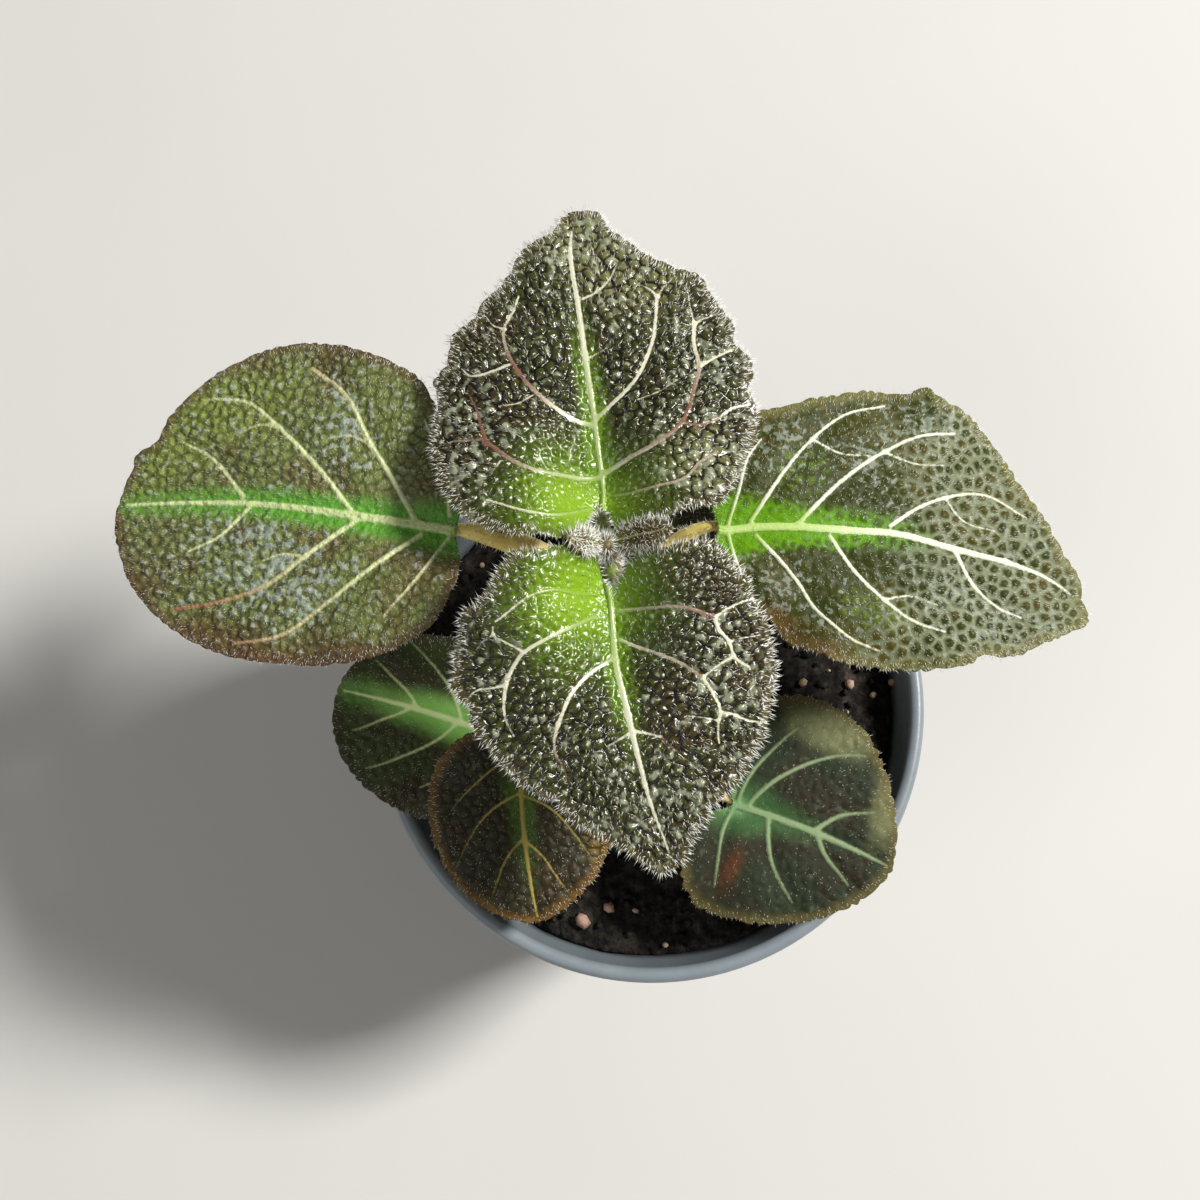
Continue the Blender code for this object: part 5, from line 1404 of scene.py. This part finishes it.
def pot_profile():
    """Half section of the pot, from the middle of its underside, over its foot ring, up the plain
    tapered wall, over the rolled lip and down the inside."""
    lip_low = RIM_HEIGHT - LIP_DEPTH
    under_lip = pot_outer_radius(lip_low)
    profile = [(0.0, FOOT_RECESS), (FOOT_RADIUS - FOOT_RING - FOOT_ROUND, FOOT_RECESS)]
    profile += arc((FOOT_RADIUS - FOOT_RING, RING_ROUND), RING_ROUND, 180, 270, 5)
    profile += arc((FOOT_RADIUS - FOOT_ROUND, FOOT_ROUND), FOOT_ROUND, 270, 360, 7)
    outside = np.linspace(WALL_START, lip_low - WALL_END, 26)
    profile += [(pot_outer_radius(height), height) for height in outside]
    profile += arc((under_lip + LIP_HOLLOW, lip_low - LIP_HOLLOW), LIP_HOLLOW, 180, 90, 5)
    profile += arc((RIM_RADIUS - LIP_EDGE_ROUND, lip_low + LIP_EDGE_ROUND), LIP_EDGE_ROUND, 270, 360, 6)
    profile += [(RIM_RADIUS, lip_low + LIP_SIDE_LOW), (RIM_RADIUS, RIM_HEIGHT - LIP_SIDE_HIGH)]
    profile += arc((RIM_RADIUS - LIP_ROUND, RIM_HEIGHT - LIP_ROUND), LIP_ROUND, 0, 180, 18)
    inside = np.linspace(lip_low, FLOOR + INSIDE_END, 24)
    profile += [(pot_inner_radius(height), height) for height in inside]
    profile += arc((pot_inner_radius(FLOOR) - FLOOR_ROUND, FLOOR + FLOOR_ROUND), FLOOR_ROUND, 0, -90, 6)
    profile.append((0.0, FLOOR))
    return profile


def make_pot(finishes):
    """The pot's shell, with its drain holes cut through the floor."""
    shell = mesh_piece("pot_shell", *revolve(pot_profile(), POT_SIDES), [finishes["pot"]])
    for hole in range(DRAIN_HOLES):
        turn = math.tau * (hole + 0.5) / DRAIN_HOLES
        x, y = DRAIN_CIRCLE * math.cos(turn), DRAIN_CIRCLE * math.sin(turn)
        path = np.array([(x, y, height) for height in (-1.0, 1.0, FLOOR + 1.0)])
        bore = tube(path, np.full(3, DRAIN_RADIUS), DRAIN_SIDES)
        cutter = mesh_piece("drain", *bore, [finishes["pot"]])
        cut = shell.modifiers.new("drain", "BOOLEAN")
        cut.operation = "DIFFERENCE"
        cut.solver = "MANIFOLD"
        cut.object = cutter
        cut_shell = shell.evaluated_get(bpy.context.evaluated_depsgraph_get())
        opened = bpy.data.meshes.new_from_object(cut_shell)
        shell.modifiers.clear()
        shell.data = opened
        bpy.data.objects.remove(cutter, do_unlink=True)
    shell.data.shade_smooth()
    shell.data.set_sharp_from_angle(angle=math.radians(POT_CREASE))
    settle(shell, "pot_plastic", "pot")


def soil_height(x, y):
    """Top of the soil: a little high round the stem, with broad hummocks, low at the wall."""
    reach = np.hypot(x, y) / RIM_RADIUS
    hummocks = np.sin(0.31 * x + 0.8) * np.cos(0.27 * y - 0.4) + 0.6 * np.sin(0.52 * x - 0.47 * y)
    return SOIL_TOP + SOIL_CROWN * (1.0 - reach ** 2) + SOIL_ROUGHNESS * hummocks


def clods(places, draw, size, height):
    """Crumbly ground: round heaps about scattered tops, each of its own height, that meet in
    sharp valleys."""
    tops = draw.uniform(-RIM_RADIUS, RIM_RADIUS, (int((2.0 * RIM_RADIUS / size) ** 2), 2))
    _, rise, owner = nearest_tops(places, tops)
    return height * rise * (2.0 - rise) * draw.uniform(0.1, 1.0, len(tops))[owner]


def make_soil(finishes, draw):
    """Soil body: a disc of crumbly ground, whose edge drops down the pot's inner wall."""
    ring, share = square_rings(SOIL_GRID)
    radius = pot_inner_radius(SOIL_TOP) - SOIL_WALL_GAP
    turn = math.tau * share
    x, y = -radius * ring * np.cos(turn), -radius * ring * np.sin(turn)
    height = soil_height(x, y) - SOIL_LOWERED
    for size, rise in CLODS:
        height = height + clods(np.c_[x, y], draw, size, rise)
    height = height - SOIL_EDGE_DROP * np.clip((ring - 1.0) / SOIL_EDGE_WIDTH + 1.0, 0.0, 1.0)
    rim = rim_order(SOIL_GRID)
    wall = []
    for level in SOIL_RINGS:
        depth = FLOOR + GAP + level * (SOIL_TOP - FLOOR)
        narrower = (pot_inner_radius(depth) - SOIL_WALL_GAP) / radius
        wall.append(np.c_[narrower * x[rim], narrower * y[rim], np.full(len(rim), depth)])
    points = np.r_[np.c_[x, y, height], np.concatenate(wall), [(0.0, 0.0, FLOOR + GAP)]]
    loops = [rim] + [len(x) + len(rim) * i + np.arange(len(rim)) for i in range(len(wall))]
    quads = [grid_faces(SOIL_GRID, SOIL_GRID)]
    quads += [np.c_[high, low, np.roll(low, -1), np.roll(high, -1)] for high, low in zip(loops, loops[1:])]
    last = loops[-1]
    base = np.c_[np.full(len(last), len(points) - 1), np.roll(last, -1), last]
    thing = mesh_piece("soil_body", points, np.concatenate(quads), base, [finishes["soil"]])
    settle(thing, "potting_soil", "soil")


def lumps(name, places, sizes, draw, finish):
    """Rough lumps: copies of a ball of 12 corners and 20 triangles, whose corners are moved in and
    out and which is stretched and turned, each by its own draws."""
    golden = (1.0 + math.sqrt(5.0)) / 2.0
    ball = np.array([(-1, golden, 0), (1, golden, 0), (-1, -golden, 0), (1, -golden, 0),
                     (0, -1, golden), (0, 1, golden), (0, -1, -golden), (0, 1, -golden),
                     (golden, 0, -1), (golden, 0, 1), (-golden, 0, -1), (-golden, 0, 1)]) / BALL_SPAN
    sides = np.array([(0, 11, 5), (0, 5, 1), (0, 1, 7), (0, 7, 10), (0, 10, 11), (1, 5, 9), (5, 11, 4),
                      (11, 10, 2), (10, 7, 6), (7, 1, 8), (3, 9, 4), (3, 4, 2), (3, 2, 6), (3, 6, 8),
                      (3, 8, 9), (4, 9, 5), (2, 4, 11), (6, 2, 10), (8, 6, 7), (9, 8, 1)])
    amount = len(places)
    corners = len(ball)
    shape = ball[None] * draw.uniform(*LUMP_DENTS, (amount, corners, 1))
    shape = shape * draw.uniform(*LUMP_STRETCH, (amount, 1, 3))
    turn = draw.uniform(0.0, math.tau, amount)
    cos, sin = np.cos(turn)[:, None], np.sin(turn)[:, None]
    turned = np.stack([cos * shape[..., 0] - sin * shape[..., 1],
                       sin * shape[..., 0] + cos * shape[..., 1], shape[..., 2]], axis=-1)
    points = (places[:, None, :] + sizes[:, None, None] * turned).reshape(-1, 3)
    triangles = (corners * np.arange(amount)[:, None, None] + sides[None]).reshape(-1, 3)
    thing = mesh_piece(name, points, (), triangles, [finish])
    carry(thing, "cell", np.repeat(draw.uniform(0.0, 1.0, amount), corners))
    return thing


def ground_places(draw, amount):
    """Random places on the soil, even over its area, and clear of the stem and the wall."""
    reach = (pot_inner_radius(SOIL_TOP) - WALL_CLEAR) * np.sqrt(draw.uniform(0.0, 1.0, amount))
    turn = draw.uniform(0.0, math.tau, amount)
    x, y = reach * np.cos(turn), reach * np.sin(turn)
    stem = stem_place(SOIL_TOP)
    clear = np.hypot(x - stem[0], y - stem[1]) > STEM_CLEAR
    return x[clear], y[clear]


def make_ground_bits(finishes, draw):
    """Loose dark crumbs and pale mineral grains on the soil."""
    x, y = ground_places(draw, CRUMBS)
    sizes = draw.uniform(*CRUMB_SIZES, len(x))
    places = np.c_[x, y, soil_height(x, y) + CRUMB_LIFT]
    settle(lumps("soil_crumbs", places, sizes, draw, finishes["soil"]), "potting_soil")
    x, y = ground_places(draw, PALE_GRAINS)
    seen = np.array(SEEN_GRAINS)
    x, y = np.r_[x, seen[:, 0]], np.r_[y, seen[:, 1]]
    sizes = np.r_[draw.uniform(*GRAIN_SIZES, len(x) - len(seen)), seen[:, 2]]
    places = np.c_[x, y, soil_height(x, y) + GRAIN_LIFT]
    settle(lumps("soil_grains", places, sizes, draw, finishes["grain"]), "potting_soil")


def make_finishes():
    """All finishes by name."""
    finishes = {name: leaf_finish(name) for name in TONES}
    finishes["under"] = under_finish()
    finishes["hair"] = hair_finish()
    # Painted light: the golden petiole tones are raised to stand in for sunlight on the petioles
    finishes["petiole_skin_and_light"] = stalk_finish("petiole_skin_and_light", tone(250, 230, 138), tone(232, 204, 112))
    finishes["petiole_green"] = stalk_finish("petiole_green", tone(146, 170, 62), tone(116, 134, 46))
    finishes["stem"] = stalk_finish("stem_skin", tone(128, 118, 66), tone(104, 84, 56))
    finishes["soil"] = soil_finish()
    finishes["grain"] = grain_finish()
    finishes["pot"] = pot_finish()
    return finishes


def soft_box(name, place, size, power, colour):
    """A square area light, turned to the plant."""
    lamp = bpy.data.lights.new(name, "AREA")
    lamp.size = size
    lamp.energy = power
    lamp.color = colour
    thing = bpy.data.objects.new(name, lamp)
    thing.location = place
    thing.rotation_mode = "QUATERNION"
    thing.rotation_quaternion = (Vector(LIGHT_AIM) - Vector(place)).to_track_quat("-Z", "Y")
    bpy.context.scene.collection.objects.link(thing)


def make_studio():
    """Pale floor, a main soft box high on the right, a weak one on the left, pale surroundings,
    and the camera."""
    corners = FLOOR_HALF * np.array(((-1, -1, 0), (1, -1, 0), (1, 1, 0), (-1, 1, 0)))
    floor = mesh_piece("floor", corners, [(0, 1, 2, 3)], (), [floor_finish()])
    floor.location.z = -FLOOR_DROP * MM
    for light in LIGHTS:
        soft_box(*light)
    world = bpy.context.scene.world or bpy.data.worlds.new("surroundings")
    bpy.context.scene.world = world
    world.use_nodes = True
    sky = world.node_tree.nodes["Background"]
    sky.inputs["Color"].default_value = SKY_COLOUR
    sky.inputs["Strength"].default_value = SKY_STRENGTH
    lens = bpy.data.cameras.new("camera")
    lens.lens = CAMERA_LENS
    lens.sensor_width = CAMERA_SENSOR
    lens.clip_start = CAMERA_NEAR
    lens.clip_end = CAMERA_FAR
    camera = bpy.data.objects.new("camera", lens)
    camera.location = Vector(CAMERA_PLACE) * MM
    camera.rotation_euler = (math.radians(90.0 - CAMERA_ELEVATION), 0.0, 0.0)
    bpy.context.scene.collection.objects.link(camera)
    bpy.context.scene.camera = camera
    bpy.context.scene.view_settings.view_transform = "Standard"


def main():
    make_studio()
    finishes = make_finishes()
    draw = np.random.default_rng(DRAW_SEED)
    for seed, (name, leaf) in enumerate(LEAVES.items()):
        make_leaf(name, leaf, LOOKS[name], LEAF_SEED + seed, finishes, draw)
    make_tip(finishes, draw)
    make_stem(finishes, draw)
    make_pot(finishes)
    make_soil(finishes, draw)
    make_ground_bits(finishes, draw)


main()
